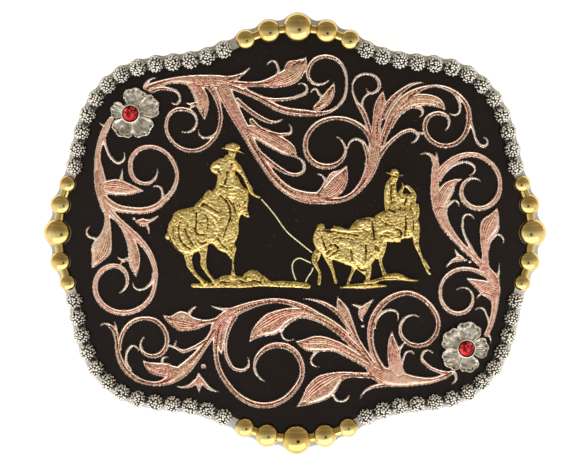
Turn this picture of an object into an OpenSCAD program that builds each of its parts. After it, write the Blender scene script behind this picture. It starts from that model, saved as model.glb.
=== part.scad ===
/* [Plate] */
// Radius of the bend of the plate, about a line parallel to Y
bend_r = 200; // [150:10:400]
// Thickness of the base plate
plate_t = 2; // [1.4:0.1:3]
// Height of the plate's top at its middle, above the table
crown_z = 13.5; // [12.5:0.5:15]
// Width of bare plate left showing outside each bead
plate_lip = 0.5; // [0.1:0.1:0.6]
// Thickness of the black enamel
enamel_t = 0.3; // [0.2:0.05:0.5]

/* [Edge] */
// Height of the middle of a gold bead above the plate
bead_lift = 0.6; // [0.3:0.1:1]
// Height of the middle of a berry above the plate
berry_lift = 0.5; // [0.3:0.1:1]
// Radius of a berry
berry_r = 1.76; // [1.5:0.02:1.78]
// Radius of the neck that joins neighbours in a row
neck_r = 0.6; // [0.4:0.1:0.9]

/* [Overlays] */
// Thickness of the copper scrolls
scroll_t = 0.7; // [0.4:0.1:1]
// Thickness of the lower step of the gold figures
figure_t = 0.6; // [0.4:0.1:1]
// Height of the upper step of the gold figures
figure_step = 0.5; // [0.2:0.1:0.8]
// Thickness of the lariat
rope_t = 0.45; // [0.3:0.05:0.7]
// Thickness of a petal at its rim
petal_t = 0.7; // [0.5:0.1:1]

/* [Flowers] */
// Radius of a red stone
stone_r = 1.6; // [1.3:0.1:1.8]
// Wall of the bezel round a stone
bezel_t = 0.3; // [0.2:0.05:0.4]

/* [Back] */
// Radius of the belt loop's wire
wire_r = 1.4; // [1.2:0.1:1.8]
// Inside width of the belt loop, for the strap
loop_w = 40; // [34:1:44]
// Distance of the belt loop's bar from the middle
loop_x = 31; // [27:1:34]
// Radius of the post that goes through the strap
post_r = 1.6; // [1.2:0.1:2]
// Radius of the ball at the end of the post
ball_r = 2.5; // [2.2:0.1:3]
// Distance of the post from the middle
post_x = 27; // [22:1:32]
// Thickness of the feet of the loop and the post
foot_t = 0.8; // [0.6:0.1:1.2]

/* [Hidden] */
$fn = 64;

gap = 0.02;             // between the metal layers
seat_gap = 0.05;        // between the back fittings and the plate
tip_w = 0.3;            // width at the point of a stroke
turn_step = 24;         // most turn between two points of a stroke, degrees
point_step = 0.05;      // points of an outline lie on a grid this fine
least_w = 0.2;          // least width inside a stroke
cap_w = 0.5;            // a stroke's end wider than this is round
fillet = 0.1;           // what a casting fills in its tight corners
edge_fillet = 2.5;      // radius that fills the notches of the plate's edge
enamel_inset = 0.9;     // from the middles of the beads in to the enamel's outline
bead_clear = 0.06;      // between the enamel and the beads
step_inset = 0.5;       // of a figure's upper step, inside its outline
petal_inset = 0.6;      // of a petal's raised middle, inside its rim
petal_step = 0.4;       // height of a petal's raised middle over its rim
petal_steps = 12;       // pieces in half a petal's edge
petal_fall = 0.3;       // how far a petal's corners fall back, of its length
lobe_depth = 0.03;      // depth of the three lobes of a petal's edge, of its length
lobe_turn = 540;        // degrees of the wave that makes the three lobes
centre_rim = 0.8;       // of a flower's round middle, outside its stone
bezel_h = 1.9;          // height of a bezel over the enamel
stone_h = 1.1;          // height of a stone's flat back over the enamel
stone_clear = 0.05;     // between a stone and its bezel
loop_corner = 1.4;      // inside radius of the belt loop's corners
loop_foot = 1.2;        // of a loop's foot, outside its wire
post_foot_r = 4;        // radius of the post's foot
reach = 60;             // half the length of the bending cylinders
above = crown_z + 6;    // higher than anything on the face
bend_z = crown_z - bend_r;

// Columns of a bead: x, y, radius. Columns of a point of a stroke: x, y, width
X = 0;
Y = 1;
W = 2;
TOP_BEADS = [
    [-9.85, 38.8, 1.95], [-5.2, 40.45, 2.3], [0.55, 41.2, 2.9], [6.3, 40.4, 2.3], [10.95, 38.7, 1.95],
];
BOTTOM_BEADS = [
    [-10, -38.8, 1.9], [-5.6, -40.35, 2.3], [0.3, -41.2, 2.9], [5.95, -40.4, 2.3], [10.6, -38.8, 1.9],
];
SIDE_BEADS = [
    [45.7, 10, 1.65], [47.15, 5.85, 2.05], [47.85, 0.2, 2.75], [47.2, -5.6, 2.05], [45.7, -9.9, 1.65],
];

// Columns of a berry: x, y, in the top right quarter
BERRIES = [
    [14.2, 36.7], [17.5, 35.4], [20.9, 34.6], [24.4, 34.2], [27.9, 33.9], [31.4, 33.2], [34.7, 31.9],
    [37.5, 29.8], [39.9, 27.1], [41.6, 23.9], [42.8, 20.5], [43.6, 17], [44.3, 13.5],
];

// Columns of every stroke below: x, y, width. Each stroke is one smooth line through its points.
SCROLL_TOP = [
    // stem from the flower to its first point
    [[-29.3, 29.2, 1.6], [-27, 30.1, 1.3], [-24, 30.7, 1.4], [-20, 30.6, 2.4], [-16, 30.4, 2.8],
        [-12.5, 30.9, 1.6], [-10.6, 31.9, 0.7], [-9.1, 33.1, tip_w]],
    [[-30.2, 29.2, 0.8], [-29.5, 30.5, 0.6], [-27.9, 31.2, tip_w]],
    [[-28.7, 28.6, 1], [-25.5, 29, 0.8], [-23.2, 27.8, 0.6], [-23.1, 26.6, 0.6], [-23.8, 25.9, 0.5],
        [-24.6, 26.2, tip_w]],
    [[-20.5, 29.8, 2], [-18.9, 27.5, 2.8], [-18.4, 25.3, 2.4], [-18.1, 22.9, tip_w]],
    [[-19, 26.4, 1], [-20.5, 25.9, 0.8], [-21.6, 26.1, tip_w]],
    [[-19, 26, 1], [-20.2, 25.6, 0.7], [-21, 25.1, tip_w]],
    // first coil
    [[-17, 29.5, 1.6], [-15.3, 26, 1], [-14.9, 22.3, 0.9], [-16.4, 18.8, 0.9], [-20.3, 16.6, 0.9],
        [-24.4, 18.3, 0.8], [-25.8, 21.8, 0.8], [-24.6, 24.4, 0.8], [-22.2, 24.9, 0.9], [-19.8, 23.3, 0.6],
        [-20.3, 20.9, 0.6], [-22.6, 20.4, tip_w]],
    [[-15.9, 19.8, 0.8], [-17, 19.3, 0.6], [-18.3, 19.2, 0.6], [-19.1, 19.8, 0.4], [-19.3, 20.7, tip_w]],
    // leaf and second coil
    [[-13, 30.2, 1.3], [-7, 29.9, 1.3], [-3.5, 30.5, 2.8], [-0.5, 31.8, 3.6], [1.2, 33.4, 2.4],
        [2.2, 35.2, tip_w]],
    [[-0.8, 32.2, 2.6], [-0.9, 33.3, 2.3], [0.5, 34.2, 1.2], [1.9, 35, tip_w]],
    [[-3.8, 31.2, 0.9], [-3.4, 33.2, 0.6], [-4.4, 34.5, 0.5], [-5.5, 33.8, tip_w]],
    [[-13, 29.5, 1.2], [-8, 27.5, 1.2], [-2, 24.6, 1.5], [2, 24.1, 1.5], [5, 24, 1], [7.5, 24.7, 0.7],
        [9.5, 26.6, 0.7], [10.3, 29.5, 0.7], [10, 32.4, 0.7], [8.6, 34.6, 0.8], [6.3, 35.4, 0.9],
        [4, 34.8, 0.9], [2.8, 33.2, 0.9], [2.7, 31.2, 0.8], [3.8, 30, 0.7], [5.5, 29.9, 0.5],
        [6.7, 30.6, tip_w]],
    [[4.3, 25.2, 1.4], [6, 26.5, 2.2], [7.1, 28.2, 1.8], [7.8, 30.1, tip_w]],
    [[6, 26.8, 1], [4.9, 27.8, 0.6], [4, 28.9, 0.5], [3.2, 28.3, tip_w]],
    [[-10, 28.8, 0.9], [-6.5, 27.1, 0.8], [-2.5, 26.8, 0.8], [0.5, 27.4, 0.7], [2.3, 28.5, 0.7],
        [2.3, 29.4, 0.5], [0.8, 29.9, tip_w]],
    [[-11.5, 26.7, 1], [-9.2, 24.7, 1], [-6.8, 23.1, 1], [-4.7, 22.3, 0.8], [-2.6, 22.8, tip_w]],
    // big leaf in the middle
    [[-9, 20.8, 2], [-6, 19.4, 3], [-3, 17.8, 3.2], [-1, 16.6, 2.6], [0.3, 15.3, tip_w]],
    [[-8.7, 22.6, 1], [-7, 21, 1], [-5, 20.1, 1], [-2.5, 19.8, 0.8], [-0.8, 20.4, 0.6],
        [-1.1, 21.7, tip_w]],
    [[-7.8, 16.9, 1], [-5, 14.4, 1], [-3, 12.9, 1], [-1.2, 12, 0.8], [0.4, 11.8, 0.8], [1.7, 12.6, 0.7],
        [1.8, 13.8, 0.7], [0.3, 15.2, tip_w]],
    // lower band to the leaf at the right
    [[-14.3, 28.9, 3], [-12, 24.2, 2.6], [-10, 20.6, 2.2], [-8.3, 17.3, 1.8], [-6, 13.6, 1.7],
        [-4, 10.9, 1.8], [-1, 8.4, 2], [2, 7.3, 2.4], [5, 7, 2.4], [8, 6.6, 1.3], [11, 7.5, 1.2],
        [13, 9.3, 1.5], [14.7, 12, 2.2], [15.6, 14.8, 2.8], [16, 17.2, 2.8]],
    [[4.6, 7.8, 1.4], [5.6, 9.2, 0.9], [6, 10.6, 0.7], [4.6, 11.9, tip_w]],
    [[5, 7.6, 2], [7.5, 8.8, 3.4], [9, 10.6, 3.2], [10.3, 13.5, tip_w]],
    [[6.6, 10.6, 0.8], [7.6, 12, 0.8], [8.6, 12.3, 0.7], [10, 13, 0.5]],
    // coil below the right leaf and the tendril beside it
    [[14.6, 14, 1.2], [14.2, 17, 1], [13.4, 18.4, 0.7], [12.1, 18.9, 0.6], [11, 18.3, 0.5],
        [10.6, 17.2, tip_w]],
    [[15.3, 18.3, 1.2], [14.4, 20.2, 1.1], [12, 22.2, 1], [8, 23.1, 0.9], [4, 21.6, 1], [2.05, 17.8, 1.1],
        [2.8, 15.2, 1.2], [6, 13.4, 1.3], [9.2, 14.6, 0.9], [10.05, 16.2, 0.7], [9.6, 18.2, 0.5],
        [8.4, 19.3, tip_w]],
    [[15.3, 19.5, 0.9], [14.6, 21.7, 1], [13.5, 24.5, 1.1], [12.2, 26.6, 0.6], [11.5, 28.8, 0.5],
        [11.7, 30.4, 0.5], [12.8, 31.6, 0.6], [14.6, 31.9, 0.6], [16.3, 31.2, 0.7], [16.9, 29.8, 0.8],
        [16.3, 28.5, 0.7], [15.3, 28.1, 0.4], [14.3, 28.9, tip_w]],
    [[14, 24, 0.8], [13.4, 26, 0.6], [13.9, 27.3, 0.5], [15.2, 28.1, 0.5]],
    // centre spike and the sweep above the right coil
    [[16.1, 17.3, 2.6], [16.3, 21.5, 1.9], [16.9, 25, 2.4], [17.3, 26.8, 1.8], [17.6, 28.4, tip_w]],
    [[17.4, 23.5, 1.6], [19.6, 27, 1.3], [21.5, 28.7, 1], [23.5, 29.9, 0.7], [25.7, 30.2, tip_w]],
    // right coil, its tail and its leaf
    [[17.3, 18, 1.4], [18.8, 22, 1.8], [20.3, 24.7, 2.2], [22.5, 27.2, 2], [25.5, 29.1, 0.9],
        [28.3, 29.6, 0.7], [31, 28.9, 0.9], [33.3, 27.4, 0.9], [34.7, 25.2, 1.1], [34.8, 22, 1.1],
        [33.7, 19.4, 1], [32, 18, 1], [30, 17.6, 1], [27.8, 18.3, 1], [26.4, 19.8, 1], [26, 21.5, 1.1],
        [26.6, 23.2, 1], [27.8, 24, 0.9], [29.2, 24.1, 0.9], [30.6, 23.4, 0.7], [30.9, 22.3, 0.6],
        [30.2, 20.8, tip_w]],
    [[34.8, 23.4, 1], [35.8, 20.8, 0.6], [36.4, 18.8, 0.6], [37.3, 17.7, 0.7], [38.1, 17.6, 0.7],
        [38, 19.3, tip_w]],
    [[31.6, 28.6, 0.8], [32.7, 27, 0.7], [33.1, 25.5, 0.6], [32.6, 24, 0.5], [31.1, 24.1, tip_w]],
    [[21, 24.8, 2], [24, 26.6, 2.4], [27, 26.7, 2.4], [29, 26, 1.8], [30, 24.9, tip_w]],
    [[19.3, 21.5, 0.9], [21, 23.9, 0.7], [22.6, 25.2, 0.8], [24.2, 25.4, 0.8], [25.6, 24.4, 0.6],
        [25, 23.4, tip_w]],
    [[16.8, 15.5, 1.2], [18.2, 17.4, 0.9], [20, 19.2, 0.8], [21.8, 20.4, 0.8], [23.4, 20.7, 0.8],
        [24.6, 20.1, 0.7], [26, 20.3, 0.6]],
    [[24.6, 20, 0.7], [24.3, 18.8, 0.5], [23.4, 18.2, tip_w]],
];

SCROLL_LEFT = [
    // stem from the flower, with its claw
    [[-36.9, 23, 1.2], [-38.3, 20.5, 1.5], [-39.3, 17.8, 1.3], [-39.7, 15, 1.4], [-39.4, 12.3, 2.2],
        [-39, 9.5, 2.6], [-38.7, 7, 1.9], [-38.2, 4.8, 1.3]],
    [[-37.7, 21.5, 0.8], [-38.4, 21.7, 0.5], [-39.2, 22.2, tip_w]],
    [[-38.4, 19.6, 0.9], [-37.9, 17.3, 0.6], [-36.9, 15.2, 0.6], [-35.3, 14.2, 0.6], [-34.3, 15, 0.5],
        [-34.3, 16.2, tip_w]],
    [[-38.5, 9.2, 2.4], [-36, 9.3, 3.4], [-33.6, 8.9, 2.6], [-30.5, 8.6, tip_w]],
    [[-35, 10, 1.2], [-34.8, 11.6, 0.6], [-34.6, 12.9, tip_w]],
    // upper coil
    [[-39, 8.2, 1.5], [-37.4, 6.2, 1.6], [-35.4, 5.1, 1.6], [-33, 4.7, 1.5], [-30.5, 4.6, 1.5],
        [-28, 5.3, 1.4], [-26, 6.9, 1.2], [-24.4, 8.8, 1], [-23.6, 11.4, 0.9], [-24.3, 14.2, 0.9],
        [-26, 16.3, 0.9], [-28.7, 17.4, 0.9], [-31.2, 16.9, 1], [-32.7, 15.3, 1], [-33, 13, 1.1],
        [-32.3, 11.1, 1], [-31, 10.2, 0.9], [-29.5, 10.1, 0.8], [-28.1, 11, 0.6], [-27.6, 12.9, tip_w]],
    [[-27.1, 6, 0.9], [-26.5, 8, 0.6], [-27.2, 9.4, 0.5], [-28.3, 9.4, tip_w]],
    // lower coil
    [[-38.3, 6.3, 1.3], [-37.2, 4.6, 1.3], [-35.2, 2.4, 1.4], [-33, 0.4, 1.5], [-31.1, -1.4, 1.4],
        [-29.6, -3.2, 1.3], [-28.5, -5.4, 1.2], [-27.9, -8, 1], [-28.1, -10.4, 0.9], [-29, -12.9, 1],
        [-31, -14.9, 1.1], [-34.2, -15.9, 1.2], [-37.3, -15.2, 1.2], [-39.4, -13.3, 1.2],
        [-40.2, -10.7, 1.2], [-39.6, -8.4, 1.1], [-38, -6.9, 1.1], [-36, -6.5, 1.1], [-34.4, -7.3, 1],
        [-33.6, -9.2, 0.8], [-35.2, -11.9, tip_w]],
    [[-28.3, -8, 0.8], [-29.2, -10.3, 0.6], [-30.6, -11.2, 0.5], [-31.8, -11.1, 0.5], [-32.5, -9.9, tip_w]],
    // leaf at the left with its hook, leaf inside the lower coil
    [[-37.9, 4.6, 1.2], [-37.7, 2, 1.4], [-38, -0.5, 2.6], [-38.9, -3, 4.2], [-39.8, -5, 2.6],
        [-40.75, -6.8, tip_w]],
    [[-38.8, -1.6, 0.9], [-40.2, -1, 0.6], [-41.5, -0.5, 0.6], [-41.9, 0.4, 0.5], [-41.3, 1.3, tip_w]],
    [[-35, 2.2, 1.2], [-33.2, -1, 1.7], [-32.3, -4.2, 2.4], [-32.2, -6.3, 2.2], [-31.9, -8.5, tip_w]],
    [[-32.8, -4.6, 1], [-34.4, -5.3, 0.7], [-35.5, -4.8, tip_w]],
    [[-33.2, -5, 0.8], [-34.4, -5.5, 0.5], [-35, -6, tip_w]],
];

SCROLL_BOTTOM = [
    // outer stem at the lower left, with its fork
    [[-39, -18.4, tip_w], [-38, -18.1, 0.5], [-37, -18.7, 0.9], [-36.2, -19.7, 1.1], [-35.8, -21.5, 1],
        [-35.6, -23.5, 1.1], [-34.9, -25.8, 1.3], [-33.5, -27.8, 1.3], [-31.6, -29.2, 1.1],
        [-29.2, -30, 1], [-27, -30, 1.2], [-25, -29.2, 2], [-22.5, -27.4, 2.6], [-20.3, -25.2, 2],
        [-18.4, -22.8, 1.4], [-16.6, -20.2, 1.5], [-14.8, -17.4, 2]],
    [[-36, -20.4, 0.9], [-35.9, -19, 0.6], [-36.2, -17.9, tip_w]],
    [[-23.5, -27.8, 2.4], [-26.5, -27.3, 2.8], [-28.8, -26.8, 2.2], [-30.4, -25.5, tip_w]],
    [[-25.4, -26.4, 0.9], [-26.6, -25.4, 0.6], [-25.5, -24.8, tip_w]],
    [[-35.2, -23, 0.9], [-34.9, -20.8, 0.9], [-33.9, -18.8, 0.9], [-32.3, -17.5, 0.9], [-30.2, -17, 0.9],
        [-28, -17.4, 1], [-26.3, -19, 1], [-25.6, -21, 1], [-26, -23, 1], [-27.3, -24.3, 1],
        [-29, -24.5, 0.9], [-30.6, -23.5, 0.7], [-30.3, -20.8, tip_w]],
    [[-33.2, -27.2, 0.9], [-33.9, -25.2, 0.6], [-33.6, -23.6, 0.6], [-32.4, -22.5, 0.5],
        [-31.4, -23.4, tip_w]],
    // leaf that points left and the tendril under it
    [[-14, -16.6, 1.2], [-17.5, -17.7, 1.1], [-20.5, -18, 2.8], [-22.9, -17.5, 4.1], [-25, -17.2, 1.8],
        [-26.25, -16.4, tip_w]],
    [[-21.6, -16.8, 0.9], [-20.8, -15.4, 0.6], [-19.8, -14.55, tip_w]],
    [[-16.6, -20.6, 1], [-18.6, -21.9, 0.9], [-20.5, -22.9, 0.8], [-22.5, -23.5, 0.8], [-24, -22.8, 0.6],
        [-25.6, -22.3, 0.5]],
    [[-24.2, -22.7, 0.5], [-23.8, -21.5, tip_w]],
    // band to the right
    [[-15.8, -18.9, 2.2], [-14.4, -17.2, 2.6], [-12.5, -15.8, 2.1], [-10, -14.7, 1.7],
        [-7, -13.8, 1.3], [-4, -13.4, 1.1], [-1, -13.8, 1.2], [2, -14.9, 1.4], [5, -16.7, 1.5],
        [8, -18.9, 1.5], [11, -21.6, 1.5], [13.5, -24, 1.5], [16, -27, 2]],
    [[-12.7, -15.2, 0.9], [-15, -15, 0.6], [-16.6, -14.5, tip_w]],
    // big coil below, with its taper and tendril
    [[-14.8, -17.8, 1.8], [-15.7, -21, 1.3], [-15.8, -24, 1.1], [-15.2, -27, 1.1], [-13.5, -30, 1.1],
        [-11, -32.6, 1.2], [-8, -34.1, 1.3], [-5.5, -34.3, 1.3], [-2.5, -33.3, 1.2], [0, -31, 1.2],
        [1.4, -28.2, 1.1], [1, -25.2, 1.2], [-0.8, -23, 1.3], [-3.3, -22.3, 1.3], [-5.8, -22.9, 1.1],
        [-7.5, -24.5, 0.9], [-8.1, -26.4, 0.7], [-7.6, -28.2, 0.6], [-6.1, -29.5, tip_w]],
    [[-14.4, -18, 2.4], [-14.9, -21, 1.8], [-14.7, -24, tip_w]],
    [[-12, -16.6, 1.2], [-13.4, -19.4, 0.9], [-13.9, -22, 0.8], [-13.5, -25, 0.8], [-11.9, -27.1, 0.8],
        [-9.7, -26.9, 0.7], [-9.4, -24.8, tip_w]],
    // leaves between the coil and the flower
    [[10, -20.2, 1.6], [7, -18, 1.9], [4, -16.5, 2], [1, -15.9, 2.2], [-2, -16.5, 3.2], [-4.8, -18.1, 4.5],
        [-7.4, -19.6, 2.6], [-9, -21.5, tip_w]],
    [[-0.4, -17, 1], [-1.9, -18.4, 0.6], [-2.7, -19.9, 0.5], [-1.8, -21.2, 0.4], [-0.3, -21.1, tip_w]],
    [[15.1, -25.2, 1.1], [12.3, -21, 1.2], [10.7, -17.8, 2], [9.5, -15.3, 2.4], [8.5, -12.7, tip_w]],
    [[9.8, -17, 1], [8, -15.3, 1], [5.5, -13.8, 0.8], [3.5, -13.2, 0.5], [1.8, -13, tip_w]],
    [[17, -27.3, 2.2], [12, -24.6, 2], [8, -22.5, 2.4], [4.7, -22, 3.3], [2.4, -22.1, 2.6],
        [0.3, -21.5, tip_w]],
    [[5.6, -22.8, 1], [3.9, -24, 0.6], [3.2, -25.5, 0.5], [4.75, -26.6, tip_w]],
    [[17.4, -28.6, 1.6], [13, -28.3, 1.2], [9.5, -28.4, 1.8], [6.2, -30.3, 4.8], [3.8, -32, 4.2],
        [2, -33.5, 2], [0.5, -34.5, tip_w]],
    [[8.6, -29.3, 0.9], [7.6, -31.5, 0.6], [8.8, -33.5, 0.5], [10.2, -33.2, 0.5], [10.8, -32.4, tip_w]],
    [[20, -30.1, 1], [17, -30.4, 0.9], [15.2, -30.8, 0.7], [14, -31.5, 0.5], [13.1, -32.8, tip_w]],
    // stem to the flower
    [[15, -26.3, 2.2], [17, -28.1, 3.4], [19, -28.8, 3.6], [21, -29.2, 3.2], [24, -29.5, 2.1],
        [27.5, -29.4, 1.3], [30, -28.6, 1.1], [31.4, -27.8, 0.9]],
    [[31.8, -27.8, 0.8], [32.3, -29.2, 0.6], [31.5, -30.1, tip_w]],
    // coil over the stem and what grows from it
    [[18.4, -28.4, 1.8], [16.4, -25.5, 1.5], [15.3, -22.5, 1.3], [15.1, -19.5, 1.5], [15.7, -16.8, 1.4],
        [17.3, -14.3, 1.3], [19.8, -12.5, 1.2], [22.7, -11.9, 1.1], [25.4, -12.9, 1], [27.6, -15, 1],
        [28.7, -17.6, 1], [28.2, -20.2, 1], [26.6, -21.9, 1], [24.2, -22.4, 1], [22.3, -21.6, 0.9],
        [21.1, -19.8, 0.8], [21.4, -17.7, 0.7], [23, -16.4, 0.5], [24.7, -16.6, tip_w]],
    [[15.8, -18.6, 0.9], [17.3, -16, 0.6], [18.8, -15.3, 0.6], [20.3, -15.7, 0.5], [20.6, -17.2, tip_w]],
    [[20.6, -28.3, 3], [20, -26, 2.8], [19.7, -23.5, 2.6], [19.4, -21.5, 1.6], [19.4, -19.7, tip_w]],
    [[20.4, -24.4, 1], [21, -23, 0.7], [22, -21.8, tip_w]],
    [[21.2, -27.2, 0.9], [21.7, -25, 0.5], [22.4, -23.7, 0.5], [23.8, -24, tip_w]],
    [[30.7, -28, 0.9], [28.3, -27.4, 0.8], [26.5, -26.4, 0.8], [25.4, -24.6, 0.7], [26.2, -23.5, 0.5],
        [27.6, -23.9, tip_w]],
];

SCROLL_RIGHT = [
    // stem up from the flower
    [[38.4, -20.3, 1], [39.2, -18.6, 1.2], [39.9, -16.3, 1.3], [40.2, -14, 1.6], [40.1, -11.5, 2.4],
        [39.8, -9.3, 2.4], [38.6, -7.4, 1.8], [37.2, -6, 1.3]],
    [[38.6, -20, 0.7], [39.2, -20.9, 0.5], [39.3, -21.9, tip_w]],
    [[40.3, -10.6, 1.4], [40.9, -8, 0.6], [41.1, -6.1, tip_w]],
    [[39.8, -11.3, 3.2], [37.5, -10.5, 2.6], [36, -9.7, 1.4], [34.6, -9, tip_w]],
    [[39.5, -13, 1], [38.3, -12.4, 0.7], [37.3, -12.2, 0.5], [36.6, -12.9, tip_w]],
    // coil at the flower's side
    [[39.3, -8.9, 1.2], [37.5, -7.9, 1], [35.5, -7.2, 0.9], [33.3, -7.1, 0.9], [31, -8, 0.9],
        [29.5, -9.8, 0.8], [29.1, -12, 0.8], [29.7, -14.1, 0.9], [31.2, -15.6, 0.9], [33.2, -16, 1],
        [34.9, -15.1, 0.9], [35.7, -13.3, 0.7], [35.4, -11.8, 0.5], [34.2, -10.9, 0.4],
        [32.5, -11.2, tip_w]],
    [[39.2, -19, 0.8], [38.6, -16.6, 0.5], [37.6, -15, 0.5], [36.3, -15.2, tip_w]],
    // leaf at the right with its hook
    [[38.4, -7.4, 1.6], [38.2, -4, 1.5], [38.3, -1, 2.4], [39.2, 1.6, 4], [40.1, 3.4, 2.2],
        [40.6, 5, tip_w]],
    [[38.7, -2.8, 0.8], [39.8, -0.8, 0.6], [40.8, -0.2, 0.5], [41.7, -0.7, 0.5], [41.9, -1.8, tip_w]],
    [[36.8, -5.4, 0.9], [35.1, -2.4, 0.7], [34, -0.2, 0.6], [33.6, 1.8, 0.6], [34.3, 3.8, 0.5],
        [35.9, 3.1, tip_w]],
    // main stem up to the fork
    [[38.6, -7.6, 1.4], [36.4, -5.2, 1.3], [34, -3, 1.3], [31.8, -0.6, 1.6], [30, 2.1, 2.1],
        [29, 4.9, 2.7], [28.2, 7.8, 2.2], [28, 10.5, 1.7], [28.1, 13, 1.6]],
    [[28.1, 12.4, 1.5], [27.9, 14.6, 1.1], [26.9, 15.9, 0.6], [25.25, 15.9, tip_w]],
    [[28.2, 12.6, 1.4], [28.4, 14.6, 0.9], [28.3, 16.2, tip_w]],
    // upper coil
    [[28.2, 10.4, 1.3], [29.7, 13.2, 1.3], [31.5, 14.7, 1.3], [33.8, 15.7, 1.2], [36.3, 15.8, 1.1],
        [38.8, 14.6, 1], [40.6, 12.6, 1], [41.25, 10, 1], [40.8, 7.6, 1.1], [39.4, 5.9, 1.1],
        [37, 5.05, 1.1], [34.9, 5.7, 1.1], [33.6, 7.2, 1.1], [33.5, 9.2, 0.9], [34.3, 10.5, 0.8],
        [35.6, 11.1, 0.6], [37.25, 10.5, tip_w]],
    [[29, 10.8, 0.9], [31, 13.2, 0.7], [32.8, 14.1, 0.6], [34.5, 14.3, 0.6], [36.1, 13, 0.5],
        [35.1, 11.7, tip_w]],
    [[28.9, 5.2, 2.6], [29.7, 7.4, 3], [30.9, 9.3, 2.6], [32, 10.4, 1.2], [33.4, 10.9, tip_w]],
    [[30, 4.6, 1], [31, 6, 0.6], [32.2, 6.6, 0.5], [32.9, 5.6, tip_w]],
];

BUD_LEFT = [
    [[-27.5, 3.5, tip_w], [-29.3, 2.5, 0.8], [-30.6, 2.3, 1.6], [-31.9, 2.5, 0.4]],
    [[-29.3, 0.1, tip_w], [-29.5, 1.3, 0.7], [-30.6, 2.1, 1.2]],
];
BUD_BOTTOM_LEFT = [
    [[-19.2, -31.6, tip_w], [-19.2, -29.8, 1.4], [-19.25, -28.1, 0.6]],
    [[-23.5, -30.6, tip_w], [-21.7, -30.7, 0.7], [-20, -29.7, 1], [-19.2, -28.8, 0.9]],
    [[-15.45, -31.6, tip_w], [-17.2, -30.9, 0.8], [-18.6, -29.4, 1], [-19.1, -28.8, 0.9]],
];
BUD_BOTTOM_RIGHT = [
    [[15.6, -13.2, tip_w], [14.2, -14.6, 1.2], [13.4, -15.6, 1.6], [13.5, -17.5, tip_w]],
    [[11.5, -14.2, tip_w], [12.8, -14.6, 0.7], [13.7, -15.1, 0.9]],
];
BUD_RIGHT = [
    [[32.1, -3.3, tip_w], [32.6, -4.2, 0.7], [33.1, -4.9, 1.2], [34.4, -5.3, 0.4]],
    [[30.4, -6.6, tip_w], [31.6, -5.5, 0.8], [33, -5.1, 1.2]],
];

HEELER = [
    // hat, head and body of the rider
    [[-13.4, 17.3, 1.2], [-12.3, 17.4, 1.6], [-11.4, 17.2, 1.1]],
    [[-14.5, 17.1, tip_w], [-13.6, 16.9, 0.5], [-12.3, 16.8, 0.6], [-11.2, 16.4, 0.5], [-10.3, 16, tip_w]],
    [[-12.9, 14.8, 1.7], [-12.6, 15.8, 1.6], [-12.5, 16.7, 1.8]],
    [[-13.3, 15, 1.8], [-13.5, 14, 3], [-13.7, 12.4, 3.6], [-13.8, 10.6, 3.7], [-13.6, 9, 5]],
    [[-14.4, 14.6, 1.2], [-15.8, 13.6, 1.6], [-16.2, 13.1, 1.6], [-15.3, 12.4, 1.4], [-14.5, 11.8, 1]],
    [[-12.3, 14.6, 0.9], [-11.4, 13.2, 1.5], [-10.4, 11.8, 0.9], [-9.6, 10.2, 0.9], [-9, 9, 1.1],
        [-8.6, 8.1, 0.8], [-7.2, 7.3, 0.6]],
    // body and legs of the horse
    [[-25.4, -0.6, 1.4], [-24.7, -0.4, 4.8], [-23.4, -0.1, 8], [-21.8, 0.4, 9.2], [-20, 1.1, 8.6],
        [-18, 1.6, 8], [-15.5, 1.2, 7]],
    [[-13.2, 9.8, 4.6], [-13.2, 8, 7.4], [-13.9, 6, 9.2], [-14.4, 4, 7.2], [-14.4, 2, 6.4],
        [-14.2, 0, 6], [-13.8, -2, 4.4], [-13, -3.6, 2], [-12.8, -4.9, 0.5]],
    [[-10.6, 8, 2.6], [-10.4, 6, 2.2], [-10.3, 4.8, 1.8], [-9.7, 3.8, 1.2], [-9.4, 3.5, 0.8]],
    [[-19.6, 5.4, 1], [-18.6, 6.5, 1], [-17, 7.4, 1.6]],
    [[-21.3, -3, 3], [-21.3, -5, 1.5], [-21, -6.4, 1.3], [-20.2, -7.8, 0.8], [-18.9, -9.2, 0.8],
        [-17.9, -10, 1]],
    [[-18.6, -2.4, 2.4], [-18.3, -4.4, 1.4], [-18.3, -6.2, 1.3], [-17.7, -7.6, 0.8], [-16.7, -8.9, 0.7],
        [-15.8, -9.9, 1]],
    [[-12.3, -3, 1.2], [-12.4, -5, 0.5], [-12.4, -7, 0.5], [-12.4, -8.8, 1.2]],
    // ground
    [[-20.4, -10.4, 0.8], [-18, -10.4, 1], [-14, -10.3, 1], [-10.5, -10.4, 0.9], [-7, -10.1, 0.9],
        [-3, -10.1, 1.2], [0, -10.2, 1.2], [2.6, -10.5, 1]],
    [[-15.6, -9.7, 0.9], [-14, -9.2, 1.6], [-12, -9.2, 1.6], [-10.2, -9.3, 1.4], [-9.2, -8.8, 2.4],
        [-8.4, -8.7, 2.9], [-7.2, -9, 2], [-5.4, -9.7, 0.9]],
];

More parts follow.
